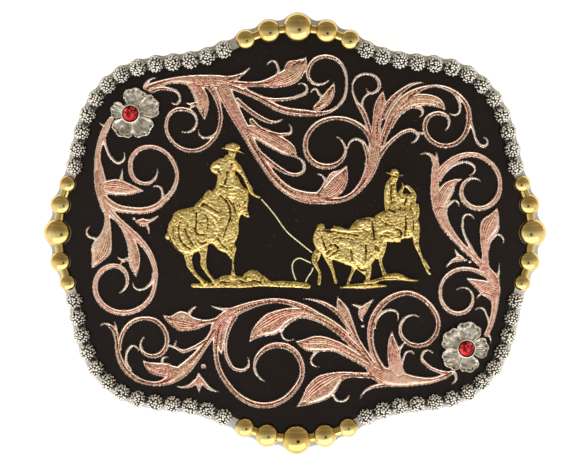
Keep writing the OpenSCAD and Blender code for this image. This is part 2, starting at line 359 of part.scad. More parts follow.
HEADER = [
    // steer
    [[4.9, 1.2, 1.2], [5.6, -0.6, 4.8], [7.4, -1.6, 6.6], [9.5, -2.3, 6.8], [11.5, -2.8, 7.4],
        [13.5, -3, 7.8], [15.1, -2.4, 5.2]],
    [[5.2, 1.2, 1.6], [4.9, -1, 1], [4.8, -3, 1.2], [4.2, -4.6, 1.6], [3.9, -5.6, 1.1], [4.3, -6.6, 0.7],
        [4.9, -7.8, 0.6], [4.9, -9, 0.7], [4.8, -10, 0.7]],
    [[6.4, -4.2, 1.8], [7, -6, 1], [7.6, -7.6, 0.7], [7.9, -8.8, 0.6], [8.2, -9.7, 0.7]],
    [[12.4, -5.8, 2], [13.6, -7, 1.8], [14.5, -8, 1.2]],
    [[14.6, -5, 1.4], [14.7, -7.5, 1.2], [14.5, -9.6, 0.9]],
    [[12, -6.2, 1.2], [11.5, -7.6, 0.6], [11, -8.8, 0.5], [10.6, -10.2, 0.6]],
    // horse
    [[11.2, 0.9, 0.8], [12.6, 1.2, 3], [14.2, 1, 4.6], [16.2, 0.8, 5], [18.4, 1.4, 6.4],
        [20.4, 1.6, 6.6], [22.2, 1.4, 6.4], [23.4, 0.6, 4.4], [24.5, -0.6, 1]],
    [[17.4, -1.4, 1.8], [17.6, -3.4, 0.9], [17.1, -4.7, 0.8], [17.1, -5.6, 0.6], [17.5, -7, 0.6],
        [18, -8.3, 0.8]],
    [[14.6, -4.4, 1.2], [16.2, -4.5, 1.3], [17.2, -4.4, 0.9]],
    [[24.2, -0.5, 1.4], [24.4, -2.4, 1], [25.1, -4.2, 0.6], [25.9, -6.2, 0.5], [26.5, -7.4, 0.6],
        [27, -8.1, 0.5]],
    [[25.9, -5.4, 0.4], [26.9, -6.9, tip_w]],
    [[22.6, 2.6, 3.6], [22.8, 5, 4], [22.9, 6.6, 3.4], [23.7, 7.8, 1.1], [23.1, 8.9, 0.7],
        [22.2, 9.5, 0.5], [21.5, 9.3, 0.4]],
    [[21.4, 10.1, 0.2], [21.6, 9.2, 0.5], [21.2, 8.4, 0.9], [21.6, 7, 1.6]],
    [[23.8, 5.4, 1.6], [24.3, 4.4, 1.2], [24.4, 3.7, 0.9]],
    // rider
    [[19.9, 11.2, 1], [19.3, 10, 1.9], [19.1, 8.6, 2.4], [19.3, 7, 2.9], [19.5, 5.4, 3], [19.8, 4, 3]],
    [[19.9, 11, 1.3], [20.1, 12, 1.3]],
    [[19.5, 12.2, 1], [20, 12.4, 1.2], [20.5, 12.1, 0.8]],
    [[18.3, 12.2, tip_w], [19.3, 11.9, 0.5], [20.5, 11.6, 0.4], [21.5, 11.7, tip_w]],
    // ground
    [[9.1, -10.8, 0.4], [11, -10.6, 0.9], [13.7, -10.5, 1.3], [16, -10.5, 0.9], [18.2, -10.5, 0.4]],
    [[14.2, -9.9, 1.2], [15.6, -9.7, 1], [17, -9.2, 0.8], [19, -8.7, 1.5], [21, -8.7, 1.5],
        [22.5, -9.2, 0.8], [24.5, -9.4, 0.4]],
];

LARIAT = [
    [[-6.7, 6.85, 0.35], [-4.1, 3.8, 0.35], [-1.6, 0.4, 0.35], [1.2, -2, 0.35], [3.4, -3.75, 0.35]],
    [[3.2, -5.9, 0.35], [2, -5.3, 0.35], [0.8, -4.9, 0.35], [-0.4, -5.8, 0.35], [-0.5, -7.2, 0.35],
        [-0.1, -8.6, 0.35], [0.2, -9.3, 0.35]],
    [[3.6, -6.8, 0.35], [3.3, -7.6, 0.35], [2.6, -8.6, 0.35], [2.1, -9.7, 0.35]],
];

// Columns of a scroll's loose dot: x, y, width
DOT_LEFT = [-32.3, 3, 0.6];
DOT_BOTTOM_LEFT = [-18.3, -26.55, 1];
DOT_BOTTOM_RIGHT = [13.55, -18.5, 0.6];
DOT_RIGHT = [35.1, -5.7, 0.6];

// Columns of a petal: direction, length, half its angle
DIRECTION = 0;
LENGTH = 1;
SPREAD = 2;
LEFT_FLOWER_AT = [-32.7, 24];
LEFT_PETALS = [[80, 5.2, 34], [22, 5.7, 31], [-52, 5.2, 34], [-122, 5.1, 34], [166, 4.4, 28]];
RIGHT_FLOWER_AT = [34.1, -23.1];
RIGHT_PETALS = [[77, 5.4, 35], [2, 4.8, 32], [-75, 4.8, 31], [-140, 5.1, 34], [145, 5, 35]];

overlay_low = enamel_t + gap;

// Height of the plate's top above the table, at a distance x from the middle
function face_z(x) = bend_z + sqrt(bend_r * bend_r - x * x);
function reversed(list) = [for (i = [len(list) - 1:-1:0]) list[i]];
function mirrored_x(rows) = [for (b = rows) [-b[X], b[Y], b[W]]];
function berries(side, end) = [for (b = BERRIES) [side * b[X], end * b[Y], berry_r]];

EDGE = concat(
    reversed(TOP_BEADS), berries(-1, 1), mirrored_x(SIDE_BEADS), reversed(berries(-1, -1)),
    BOTTOM_BEADS, berries(1, -1), reversed(SIDE_BEADS), reversed(berries(1, 1)));

// A stroke runs on near-circular arcs: its heading at a point is that of the circle through the
// point and its two neighbours, and a first or last piece is an arc too.
function unit(v) = v / norm(v);
function spot(s, i) = [s[i][X], s[i][Y]];
function inner_heading(s, i) = let (a = spot(s, i) - spot(s, i - 1), b = spot(s, i + 1) - spot(s, i))
    unit(a / (a * a) + b / (b * b));
function across(heading, chord) = 2 * (heading * chord) * chord - heading;
function heading(s, i) = let (n = len(s) - 1)
    n == 1 ? unit(spot(s, 1) - spot(s, 0)) :
    i == 0 ? across(inner_heading(s, 1), unit(spot(s, 1) - spot(s, 0))) :
    i == n ? across(inner_heading(s, n - 1), unit(spot(s, n) - spot(s, n - 1))) :
    inner_heading(s, i);
function width_slope(s, i) = let (n = len(s) - 1)
    (s[min(i + 1, n)][W] - s[max(i - 1, 0)][W]) / (i == 0 || i == n ? 1 : 2);
function bezier(a, b, c, d, u) = pow(1 - u, 3) * a + 3 * pow(1 - u, 2) * u * b
    + 3 * (1 - u) * u * u * c + pow(u, 3) * d;
function bezier_run(a, b, c, d, u) = pow(1 - u, 2) * (b - a) + 2 * (1 - u) * u * (c - b)
    + u * u * (d - c);
function blended(a, b, slope_a, slope_b, u) = bezier(a, a + slope_a / 3, b - slope_b / 3, b, u);

// One piece of a stroke, as rows of place, run and width
function piece(s, i) = let (
        a = spot(s, i), d = spot(s, i + 1), ha = heading(s, i), hd = heading(s, i + 1),
        turn = acos(max(-1, min(1, ha * hd))),
        handle = norm(d - a) / (3 * pow(cos(turn / 4), 2)),
        b = a + handle * ha, c = d - handle * hd,
        steps = max(2, ceil(turn / turn_step)))
    [for (j = [0:i == len(s) - 2 ? steps : steps - 1]) let (u = j / steps) [
        bezier(a, b, c, d, u),
        unit(bezier_run(a, b, c, d, u)),
        max(least_w, blended(s[i][W], s[i + 1][W], width_slope(s, i), width_slope(s, i + 1), u))]];
function on_grid(p) = [round(p[X] / point_step) * point_step, round(p[Y] / point_step) * point_step];
function side(rows, sign) = [for (r = rows) on_grid(r[0] + sign * r[2] / 2 * [-r[1][1], r[1][0]])];

module stroke(s) {
    rows = [for (i = [0:len(s) - 2]) each piece(s, i)];
    polygon(concat(side(rows, 1), reversed(side(rows, -1))));
    for (end = [s[0], s[len(s) - 1]]) {
        if (end[W] > cap_w) translate([end[X], end[Y]]) circle(d = end[W], $fn = 12);
    }
}

// All strokes of one casting as a single outline, its tight corners filled as a casting's are
module cast_outline(strokes) {
    offset(delta = -fillet) offset(delta = fillet) for (s = strokes) stroke(s);
}

// Solid inside the bent face raised by h
module under_face(h) {
    translate([0, reach, bend_z]) rotate([90, 0, 0]) cylinder(r = bend_r + h, h = 2 * reach, $fn = 720);
}

module shell(low, high) {
    difference() {
        under_face(high);
        translate([0, reach + 1, bend_z]) rotate([90, 0, 0])
            cylinder(r = bend_r + low, h = 2 * reach + 2, $fn = 720);
    }
}

// A flat shape carried up onto the bent face, from one height above it to another
module laid_on(low, high) {
    intersection() {
        shell(low, high);
        linear_extrude(above) children();
    }
}

// Puts its children upright on the bent face at x, y and a height h above it
module seated(x, y, h) {
    translate([x, y, face_z(x)]) rotate([0, asin(x / bend_r), 0]) translate([0, 0, h]) children();
}

module bar(from, to, r) {
    run = to - from;
    translate(from) rotate([0, acos(run[2] / norm(run)), atan2(run[1], run[0])])
        cylinder(r = r, h = norm(run), $fn = 24);
}

// A row of balls joined by short necks, cut to lie on the plate
module bead_row(beads, lift) {
    middles = [for (b = beads) [b[X], b[Y], face_z(b[X]) + lift]];
    difference() {
        union() {
            for (i = [0:len(beads) - 1]) translate(middles[i]) sphere(r = beads[i][W]);
            for (i = [1:len(beads) - 1]) bar(middles[i - 1], middles[i], neck_r);
        }
        under_face(gap);
    }
}

// The line through the middles of all beads and berries
module middle_line() {
    polygon([for (b = EDGE) [b[X], b[Y]]]);
}

// A scallop round each bead, and fillets that fill most of the notches between them
module base_plate() {
    color("darkgray") laid_on(-plate_t, 0)
        offset(r = -edge_fillet, $fn = 32) offset(r = edge_fillet, $fn = 32) {
            for (b = EDGE) translate([b[X], b[Y]]) circle(r = b[W] + plate_lip, $fn = 32);
            middle_line();
        }
}

module enamel_field() {
    color("#26201f") difference() {
        laid_on(0, enamel_t) offset(delta = -enamel_inset) middle_line();
        for (b = EDGE) translate([b[X], b[Y], 0]) cylinder(r = b[W] + bead_clear, h = above);
    }
}

module bead_row_top() { color("goldenrod") bead_row(TOP_BEADS, bead_lift); }
module bead_row_right() { color("goldenrod") bead_row(SIDE_BEADS, bead_lift); }
module bead_row_bottom() { color("goldenrod") bead_row(BOTTOM_BEADS, bead_lift); }
module bead_row_left() { color("goldenrod") bead_row(mirrored_x(SIDE_BEADS), bead_lift); }
module berry_row_top_right() { color("silver") bead_row(berries(1, 1), berry_lift); }
module berry_row_top_left() { color("silver") bead_row(berries(-1, 1), berry_lift); }
module berry_row_bottom_left() { color("silver") bead_row(berries(-1, -1), berry_lift); }
module berry_row_bottom_right() { color("silver") bead_row(berries(1, -1), berry_lift); }

module scroll(strokes) {
    color("#d99a7c") laid_on(overlay_low, overlay_low + scroll_t) cast_outline(strokes);
}

module scroll_top() { scroll(SCROLL_TOP); }
module scroll_left() { scroll(SCROLL_LEFT); }
module scroll_bottom() { scroll(SCROLL_BOTTOM); }
module scroll_right() { scroll(SCROLL_RIGHT); }

// A loose bud with the small round dot beyond its foot
module bud(strokes, dot) {
    color("#d99a7c") laid_on(overlay_low, overlay_low + scroll_t) {
        cast_outline(strokes);
        translate([dot[X], dot[Y]]) circle(d = dot[W], $fn = 16);
    }
}

module bud_left() { bud(BUD_LEFT, DOT_LEFT); }
module bud_bottom_left() { bud(BUD_BOTTOM_LEFT, DOT_BOTTOM_LEFT); }
module bud_bottom_right() { bud(BUD_BOTTOM_RIGHT, DOT_BOTTOM_RIGHT); }
module bud_right() { bud(BUD_RIGHT, DOT_RIGHT); }

// A figure is cast in two steps: its whole outline, and its bodies raised inside that outline
module figure(strokes) {
    color("gold") {
        laid_on(overlay_low, overlay_low + figure_t) cast_outline(strokes);
        laid_on(overlay_low + figure_t / 2, overlay_low + figure_t + figure_step)
            offset(delta = -step_inset) cast_outline(strokes);
    }
}

module heeler_figure() { figure(HEELER); }
module header_figure() { figure(HEADER); }
module lariat() { color("gold") laid_on(overlay_low, overlay_low + rope_t) cast_outline(LARIAT); }

// A petal widens from the middle to an edge of three lobes
function petal_edge(p) = [for (k = [-petal_steps:petal_steps])
    let (t = k / petal_steps, turn = p[DIRECTION] + t * p[SPREAD])
    p[LENGTH] * (1 - petal_fall * pow(abs(t), 3)) * (1 + lobe_depth * cos(lobe_turn * t))
        * [cos(turn), sin(turn)]];

module petals(rows) {
    for (p = rows) polygon(concat([[0, 0]], petal_edge(p)));
    circle(r = stone_r + centre_rim);
}

module flower(at, rows) {
    root = petal_t / 2;
    color("silver") {
        laid_on(overlay_low, overlay_low + petal_t)
            offset(delta = -fillet / 2) offset(delta = fillet / 2) translate(at) petals(rows);
        laid_on(overlay_low + root, overlay_low + petal_t + petal_step)
            offset(delta = -petal_inset) translate(at) petals(rows);
        seated(at[X], at[Y], overlay_low + root) difference() {
            cylinder(r = stone_r + bezel_t, h = bezel_h - root);
            translate([0, 0, stone_h - gap - root]) cylinder(r = stone_r + stone_clear, h = bezel_h);
        }
    }
}

module flower_left() { flower(LEFT_FLOWER_AT, LEFT_PETALS); }
module flower_right() { flower(RIGHT_FLOWER_AT, RIGHT_PETALS); }

// A round stone with a flat back, sixteen girdle facets, eight kites, eight stars and a table
module stone(at) {
    table = 0.56 * stone_r;
    middle = 0.82 * stone_r;
    girdle = 0.55;
    crown = 1.15;
    middle_z = crown + (girdle - crown) * (middle * cos(22.5) - table) / (stone_r - table);
    function ring(n, r, z, turn) = [for (k = [0:n - 1]) let (a = k * 360 / n + turn)
        [r * cos(a), r * sin(a), z]];
    points = concat(ring(8, table, crown, 0), ring(8, middle, middle_z, 22.5),
        ring(16, stone_r, girdle, 0), ring(16, stone_r, 0, 0));
    faces = concat(
        [[7, 6, 5, 4, 3, 2, 1, 0]],
        [for (k = [0:7]) [k, (k + 1) % 8, 8 + k]],
        [for (k = [0:7]) [k, 8 + k, 16 + 2 * k]],
        [for (k = [0:7]) [k, 16 + 2 * k, 8 + (k + 7) % 8]],
        [for (k = [0:7]) [8 + k, 16 + 2 * k + 1, 16 + 2 * k]],
        [for (k = [0:7]) [8 + k, 16 + (2 * k + 2) % 16, 16 + 2 * k + 1]],
        [for (k = [0:15]) [16 + k, 16 + (k + 1) % 16, 32 + (k + 1) % 16, 32 + k]],
        [[for (k = [0:15]) 32 + k]]);
    color("crimson") seated(at[X], at[Y], overlay_low + stone_h) polyhedron(points, faces);
}

module stone_left() { stone(LEFT_FLOWER_AT); }
module stone_right() { stone(RIGHT_FLOWER_AT); }

// What reaches up to the back of the plate is cut to its bend, a small gap below it
module against_back() {
    intersection() {
        children();
        under_face(-plate_t - seat_gap);
    }
}

// A wire bent to a U, its two feet on the back of the plate
module belt_loop() {
    corner = wire_r + loop_corner;
    half = loop_w / 2 + wire_r;
    foot_z = face_z(loop_x) - plate_t - foot_t;
    color("darkgray") against_back() translate([-loop_x, 0, 0]) {
        translate([0, half - corner, wire_r]) rotate([90, 0, 0])
            cylinder(r = wire_r, h = 2 * (half - corner));
        for (end = [-1, 1]) {
            translate([0, end * (half - corner), wire_r + corner])
                rotate([0, 90, 0]) rotate([0, 0, end > 0 ? 0 : -90])
                    rotate_extrude(angle = 90) translate([corner, 0]) circle(r = wire_r);
            translate([0, end * half, wire_r + corner]) cylinder(r = wire_r, h = crown_z);
            translate([0, end * half, foot_z]) cylinder(r = wire_r + loop_foot, h = plate_t);
        }
    }
}

// A short post with a ball end, on a round foot
module belt_hook() {
    color("darkgray") against_back() translate([post_x, 0, 0]) {
        translate([0, 0, ball_r]) sphere(r = ball_r);
        translate([0, 0, ball_r]) cylinder(r = post_r, h = crown_z);
        translate([0, 0, face_z(post_x) - plate_t - foot_t]) cylinder(r = post_foot_r, h = plate_t);
    }
}

base_plate();
enamel_field();
bead_row_top();
bead_row_right();
bead_row_bottom();
bead_row_left();
berry_row_top_right();
berry_row_top_left();
berry_row_bottom_left();
berry_row_bottom_right();
scroll_top();
scroll_left();
scroll_bottom();
scroll_right();
bud_left();
bud_bottom_left();
bud_bottom_right();
bud_right();
heeler_figure();
header_figure();
lariat();
flower_left();
flower_right();
stone_left();
stone_right();
belt_loop();
belt_hook();
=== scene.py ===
import math

import bpy
import numpy as np
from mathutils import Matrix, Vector, noise
from mathutils.geometry import delaunay_2d_cdt


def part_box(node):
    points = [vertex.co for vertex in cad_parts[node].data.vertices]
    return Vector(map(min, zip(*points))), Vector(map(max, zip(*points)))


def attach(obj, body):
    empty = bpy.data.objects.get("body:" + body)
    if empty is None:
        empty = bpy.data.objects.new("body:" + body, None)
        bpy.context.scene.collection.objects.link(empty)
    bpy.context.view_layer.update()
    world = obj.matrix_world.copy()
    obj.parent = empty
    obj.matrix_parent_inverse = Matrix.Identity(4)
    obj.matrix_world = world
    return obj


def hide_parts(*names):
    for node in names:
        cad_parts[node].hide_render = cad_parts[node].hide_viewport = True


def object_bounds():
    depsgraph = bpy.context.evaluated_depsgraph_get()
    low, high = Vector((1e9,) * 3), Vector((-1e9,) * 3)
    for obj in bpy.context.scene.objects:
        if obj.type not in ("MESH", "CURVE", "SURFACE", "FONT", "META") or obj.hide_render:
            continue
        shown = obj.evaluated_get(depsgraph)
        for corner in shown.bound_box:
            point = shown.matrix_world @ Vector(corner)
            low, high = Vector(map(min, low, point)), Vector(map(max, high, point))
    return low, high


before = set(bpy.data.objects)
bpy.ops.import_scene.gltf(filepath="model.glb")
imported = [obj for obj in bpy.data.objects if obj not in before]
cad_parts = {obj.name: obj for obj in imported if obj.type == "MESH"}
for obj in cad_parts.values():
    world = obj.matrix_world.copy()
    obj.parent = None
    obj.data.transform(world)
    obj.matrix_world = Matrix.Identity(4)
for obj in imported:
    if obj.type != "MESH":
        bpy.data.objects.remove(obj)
cad_low, cad_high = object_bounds()

# Base plate.
# A zinc casting 2 mm thick, nickel plated, bent to a radius of 200 mm so that it lies round the wearer.
# Its edge is a scallop round each bead, tumbled round, with the notches between them mostly filled.
# All sizes below are in millimetres; a mesh is scaled to metres when it is made.
MM = 0.001
BEND_R = 200
PLATE_T = 2
PLATE_LIP = 0.25
EDGE_ROUND = 0.35
EDGE_FILLET = 2.5
CROWN_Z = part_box("base_plate")[1].z / MM
X, Y, R = 0, 1, 2
BERRY_R = 1.76
# Columns of a bead: x, y, radius, and of a berry: x, y. The left side mirrors the right one, and the berries
# of one corner are mirrored to the others.
TOP_BEADS = [
    [-9.85, 38.8, 1.95], [-5.2, 40.45, 2.3], [0.55, 41.2, 2.9], [6.3, 40.4, 2.3], [10.95, 38.7, 1.95],
]
BOTTOM_BEADS = [
    [-10, -38.8, 1.9], [-5.6, -40.35, 2.3], [0.3, -41.2, 2.9], [5.95, -40.4, 2.3], [10.6, -38.8, 1.9],
]
SIDE_BEADS = [
    [45.7, 10, 1.65], [47.15, 5.85, 2.05], [47.85, 0.2, 2.75], [47.2, -5.6, 2.05], [45.7, -9.9, 1.65],
]
BERRIES = [
    [14.2, 36.7], [17.5, 35.4], [20.9, 34.6], [24.4, 34.2], [27.9, 33.9], [31.4, 33.2], [34.7, 31.9],
    [37.5, 29.8], [39.9, 27.1], [41.6, 23.9], [42.8, 20.5], [43.6, 17], [44.3, 13.5],
]


def face_z(x):
    """Height of the plate's top: a circle of the bend's radius that passes through the crown."""
    return CROWN_Z - BEND_R + np.sqrt(BEND_R ** 2 - x ** 2)


def bent(xy, lift):
    """Points of the flat outline carried up to the bent face: z is the face's height plus lift."""
    return np.concatenate([xy, (face_z(xy[..., 0]) + lift)[..., None]], axis=-1)


def capped(rings):
    """A closed skin through a stack of rings, first to last, each end closed by a fan to its middle.
    Rings run anticlockwise seen from the last ring's side."""
    count, around = rings.shape[:2]
    points = np.concatenate([rings[0].mean(0)[None], rings.reshape(-1, 3), rings[-1].mean(0)[None]])
    k = np.arange(around)
    after = (k + 1) % around
    start = 1 + np.arange(count - 1)[:, None] * around
    quads = np.stack([start + k, start + after, start + around + after, start + around + k], -1)
    top = 1 + (count - 1) * around
    fans = np.concatenate([
        np.stack([np.zeros(around, int), 1 + after, 1 + k], -1),
        np.stack([np.full(around, top + around), top + k, top + after], -1)])
    return points, quads.reshape(-1, 4).tolist() + fans.tolist()


def joined(shells):
    """Several shells as one: their points in a row, their faces counted on."""
    faces, start = [], 0
    for points, shell_faces in shells:
        faces += [[v + start for v in face] for face in shell_faces]
        start += len(points)
    return np.concatenate([points for points, _ in shells]), faces


def placed(name, data):
    """A new object in the scene that shows a mesh, a light or a camera."""
    obj = bpy.data.objects.new(name, data)
    bpy.context.scene.collection.objects.link(obj)
    return obj


def piece(name, shell, material, nodes, sharp=35):
    """The finished piece: its mesh in metres at the origin, smooth but for edges sharper than the angle."""
    points, faces = shell
    mesh = bpy.data.meshes.new(name)
    mesh.from_pydata((points * MM).tolist(), [], faces)
    mesh.validate()
    mesh.polygons.foreach_set("use_smooth", np.ones(len(mesh.polygons), bool))
    mesh.set_sharp_from_angle(angle=math.radians(sharp))
    mesh.materials.append(material)
    obj = placed(name, mesh)
    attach(obj, "root")
    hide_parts(*nodes)
    return obj


def feed(tree, node, sockets):
    """Gives each of a node's inputs a value, or another node's output."""
    for key, value in dict(sockets).items():
        if isinstance(value, bpy.types.NodeSocket):
            tree.links.new(value, node.inputs[key])
        else:
            node.inputs[key].default_value = value


def put(tree, kind, sockets=(), **settings):
    """Adds a shader node. Settings are its own properties, sockets what its inputs are fed."""
    made = tree.nodes.new(kind)
    for key, value in settings.items():
        setattr(made, key, value)
    feed(tree, made, sockets)
    return made


def ramp(tree, factor, *stops):
    """A colour or mask ramp: stops are pairs of place and colour."""
    made = put(tree, "ShaderNodeValToRGB", {"Fac": factor})
    while len(made.color_ramp.elements) < len(stops):
        made.color_ramp.elements.new(0.5)
    for element, (place, colour) in zip(made.color_ramp.elements, stops):
        element.position = place
        element.color = (*colour, 1) if isinstance(colour, tuple) else (colour, colour, colour, 1)
    return made.outputs["Color"]


def group(name, inputs, outputs):
    """An empty shader node group: inputs are name, kind and value, outputs name and kind."""
    tree = bpy.data.node_groups.new(name, "ShaderNodeTree")
    for label, kind, value in inputs:
        tree.interface.new_socket(label, in_out="INPUT", socket_type=kind).default_value = value
    for label, kind in outputs:
        tree.interface.new_socket(label, in_out="OUTPUT", socket_type=kind)
    return tree, put(tree, "NodeGroupInput"), put(tree, "NodeGroupOutput")


def finish(name):
    """A new material with its node tree and its shader."""
    material = bpy.data.materials.new(name)
    material.use_nodes = True
    tree = material.node_tree
    return material, tree, tree.nodes["Principled BSDF"]


def skin_group():
    """Cast and plated metal at two scales: a fine orange-peel height, and slow patches of tarnish."""
    tree, given, out = group("plated_skin", [
        ("Grain", "NodeSocketFloat", 2000), ("Patches", "NodeSocketFloat", 120)],
        [("Height", "NodeSocketFloat"), ("Patch", "NodeSocketFloat")])
    where = put(tree, "ShaderNodeTexCoord").outputs["Object"]
    grain = put(tree, "ShaderNodeTexNoise", {
        "Vector": where, "Scale": given.outputs["Grain"], "Detail": 3, "Roughness": 0.6})
    patches = put(tree, "ShaderNodeTexNoise", {
        "Vector": where, "Scale": given.outputs["Patches"], "Detail": 2, "Roughness": 0.5})
    spread = put(tree, "ShaderNodeMapRange", {
        "Value": patches.outputs["Fac"], "From Min": 0.35, "From Max": 0.65})
    feed(tree, out, {"Height": grain.outputs["Fac"], "Patch": spread.outputs["Result"]})
    return tree


PLATED_SKIN = skin_group()


def skin(tree, grain, patches):
    """Places the plated skin in a material at its two scales, in details per metre."""
    made = put(tree, "ShaderNodeGroup", {"Grain": grain, "Patches": patches}, node_tree=PLATED_SKIN)
    return made.outputs["Height"], made.outputs["Patch"]


def bump(tree, height, depth):
    """Height as a bump of that depth in millimetres."""
    return put(tree, "ShaderNodeBump", {"Height": height, "Distance": depth * MM}).outputs["Normal"]


def nickel():
    """Satin nickel: light grey, a little darker and rougher in slow patches."""
    material, tree, shader = finish("satin_nickel")
    height, patch = skin(tree, 2500, 90)
    feed(tree, shader, {
        "Base Color": ramp(tree, patch, (0, (0.57, 0.55, 0.52)), (1, (0.74, 0.72, 0.69))),
        "Roughness": ramp(tree, patch, (0, 0.46), (1, 0.3)),
        "Normal": bump(tree, height, 0.035), "Metallic": 1})
    return material


NICKEL = nickel()


def berries(side, end):
    """The berries of one corner as discs: side is 1 at the right and -1 at the left, end 1 at the top."""
    return [[side * x, end * y, BERRY_R] for x, y in BERRIES]


LEFT_BEADS = [[-x, y, r] for x, y, r in SIDE_BEADS]
EDGE = np.array(
    TOP_BEADS[::-1] + berries(-1, 1) + LEFT_BEADS + berries(-1, -1)[::-1]
    + BOTTOM_BEADS + berries(1, -1) + SIDE_BEADS[::-1] + berries(1, 1)[::-1])


def scalloped(discs, fillet, steps=7):
    """Outline of a ring of discs, anticlockwise: an arc round each disc, from the fillet before it to the
    fillet after it, and a hollow arc of the fillet's radius that touches both neighbours."""
    here, radius = discs[:, :2], discs[:, 2]
    after, after_r = np.roll(here, -1, 0), np.roll(radius, -1)
    run = after - here
    far = np.hypot(*run.T)
    along = ((radius + fillet) ** 2 - (after_r + fillet) ** 2 + far ** 2) / (2 * far)
    off = np.sqrt((radius + fillet) ** 2 - along ** 2)
    unit = run / far[:, None]
    outward = np.stack([unit[:, 1], -unit[:, 0]], -1)
    hub = here + along[:, None] * unit + off[:, None] * outward

    def arc(centre, radii, start, end, turn):
        first = np.arctan2(*(start - centre).T[::-1])
        swept = (np.arctan2(*(end - centre).T[::-1]) - first) * turn % math.tau
        angle = first[:, None] + turn * swept[:, None] * np.linspace(0, 1, steps)[:-1]
        return centre[:, None] + radii[:, None, None] * np.stack([np.cos(angle), np.sin(angle)], -1)

    bulges = arc(here, radius, np.roll(hub, 1, 0), hub, 1)
    hollows = arc(hub, np.full(len(hub), fillet), here, after, -1)
    return np.concatenate([bulges, hollows], 1).reshape(-1, 2)


# Sizes of the shrunken copies of an outline that divide a slab's flat sides into rings.
INWARD = (0.1, 0.2, 0.32, 0.44, 0.56, 0.68, 0.8, 0.9, 0.96)


def slab(outline, low, high, edge_round, steps=5):
    """A bent slab: from the middle of its underside out to its edge in shrunken copies of the outline, up
    its rounded side and back in over its top."""
    inner = [(size, low) for size in INWARD]
    turn = np.linspace(0, math.pi / 2, steps)
    reach = np.abs(outline).max()
    share = edge_round / reach
    side = [(1 - share * (1 - math.sin(a)), low + edge_round * (1 - math.cos(a))) for a in turn]
    side += [(1 - share * (1 - math.cos(a)), high - edge_round * (1 - math.sin(a))) for a in turn]
    rows = inner + side + [(size, high) for size in reversed(INWARD)]
    return capped(np.stack([bent(outline * size, lift) for size, lift in rows]))


plate_discs = EDGE + [0, 0, PLATE_LIP]
piece("plate", slab(scalloped(plate_discs, EDGE_FILLET), -PLATE_T, 0, EDGE_ROUND),
      NICKEL, ["base_plate"])

# Enamel field.
# Black enamel about 0.3 mm thick, poured inside the ring of beads and cured satin.
# It runs up against each bead, under the grains of a berry, and a little way in between them.
ENAMEL_T = 0.3
ENAMEL_ROUND = 0.03
ENAMEL_INSET = 0.9
BEAD_CLEAR = 0.005
BEAD_LIFT = 0.6
BERRY_LIFT = 0.5
CORE_R = 1.32


def foot(radius, lift):
    """Radius of a ball where the enamel's top meets it."""
    return np.sqrt(radius ** 2 - (lift - ENAMEL_T) ** 2)


def enamel_outline(count=1116):
    """Along each of the rays from the middle, the nearer of the line just inside the beads' middles and
    the near side of a bead that the ray hits."""
    angle = np.arange(count) * math.tau / count
    ray = np.stack([np.cos(angle), np.sin(angle)], -1)
    middle = EDGE[:, :2]
    plain, berry = foot(EDGE[:, 2], BEAD_LIFT), foot(CORE_R, BERRY_LIFT)
    radius = BEAD_CLEAR + np.where(EDGE[:, 2] == BERRY_R, berry, plain)
    order = np.argsort(np.arctan2(middle[:, 1], middle[:, 0]) % math.tau)
    limit = np.interp(angle, (np.arctan2(middle[:, 1], middle[:, 0]) % math.tau)[order],
                      np.hypot(*middle.T)[order], period=math.tau) - ENAMEL_INSET
    along = ray @ middle.T
    inside = along ** 2 - (middle ** 2).sum(1) + radius ** 2
    near = np.where((inside > 0) & (along > 0), along - np.sqrt(np.maximum(inside, 0)), np.inf)
    return ray * np.minimum(limit, near.min(1))[:, None]


def enamel():
    """Black enamel: nearly black with a warm cast, a soft gloss broken by fine dust and faint waves."""
    material, tree, shader = finish("black_enamel")
    height, patch = skin(tree, 900, 60)
    where = put(tree, "ShaderNodeTexCoord").outputs["Object"]
    specks = put(tree, "ShaderNodeTexNoise", {"Vector": where, "Scale": 1400, "Detail": 1})
    dust = ramp(tree, specks.outputs["Fac"], (0.68, (0.009, 0.005, 0.003)), (0.8, (0.026, 0.02, 0.02)))
    feed(tree, shader, {
        "Base Color": dust, "Roughness": ramp(tree, patch, (0, 0.34), (1, 0.42)),
        "Normal": bump(tree, height, 0.01), "Specular IOR Level": 0.2})
    return material


piece("enamel", slab(enamel_outline(), 0, ENAMEL_T, ENAMEL_ROUND),
      enamel(), ["enamel_field"])

# Gold beads.
# Four rows of five plain balls, a little flat on top, each row one casting with short broad necks, polished
# and gold plated. A row is soldered to the plate's edge, so each ball is cut flat against it.
BEAD_SQUAT = 0.6
NECK_R = 0.6
NECK_WIDE = 0.88
# Gap under a piece that is soldered on, and the share of a ball's radius from which a fan closes its pole.
SEAT = 0.02
POLE_SHARE = 0.01


def tilted(points, at):
    """Shapes built upright, turned to the bent face and set down on it at a place x, y."""
    lean = math.asin(at[X] / BEND_R)
    x, y, z = points[..., 0], points[..., 1], points[..., 2]
    return np.stack([
        at[X] + x * math.cos(lean) + z * math.sin(lean), at[Y] + y,
        face_z(at[X]) - x * math.sin(lean) + z * math.cos(lean)], -1)


def turned(profile, around):
    """A profile of radius and height carried round the upright axis, lowest row first."""
    angle = np.arange(around) * math.tau / around
    round_ = np.stack([np.cos(angle), np.sin(angle), np.zeros(around)], -1)
    return profile[:, 0, None, None] * round_ + profile[:, 1, None, None] * [0, 0, 1]


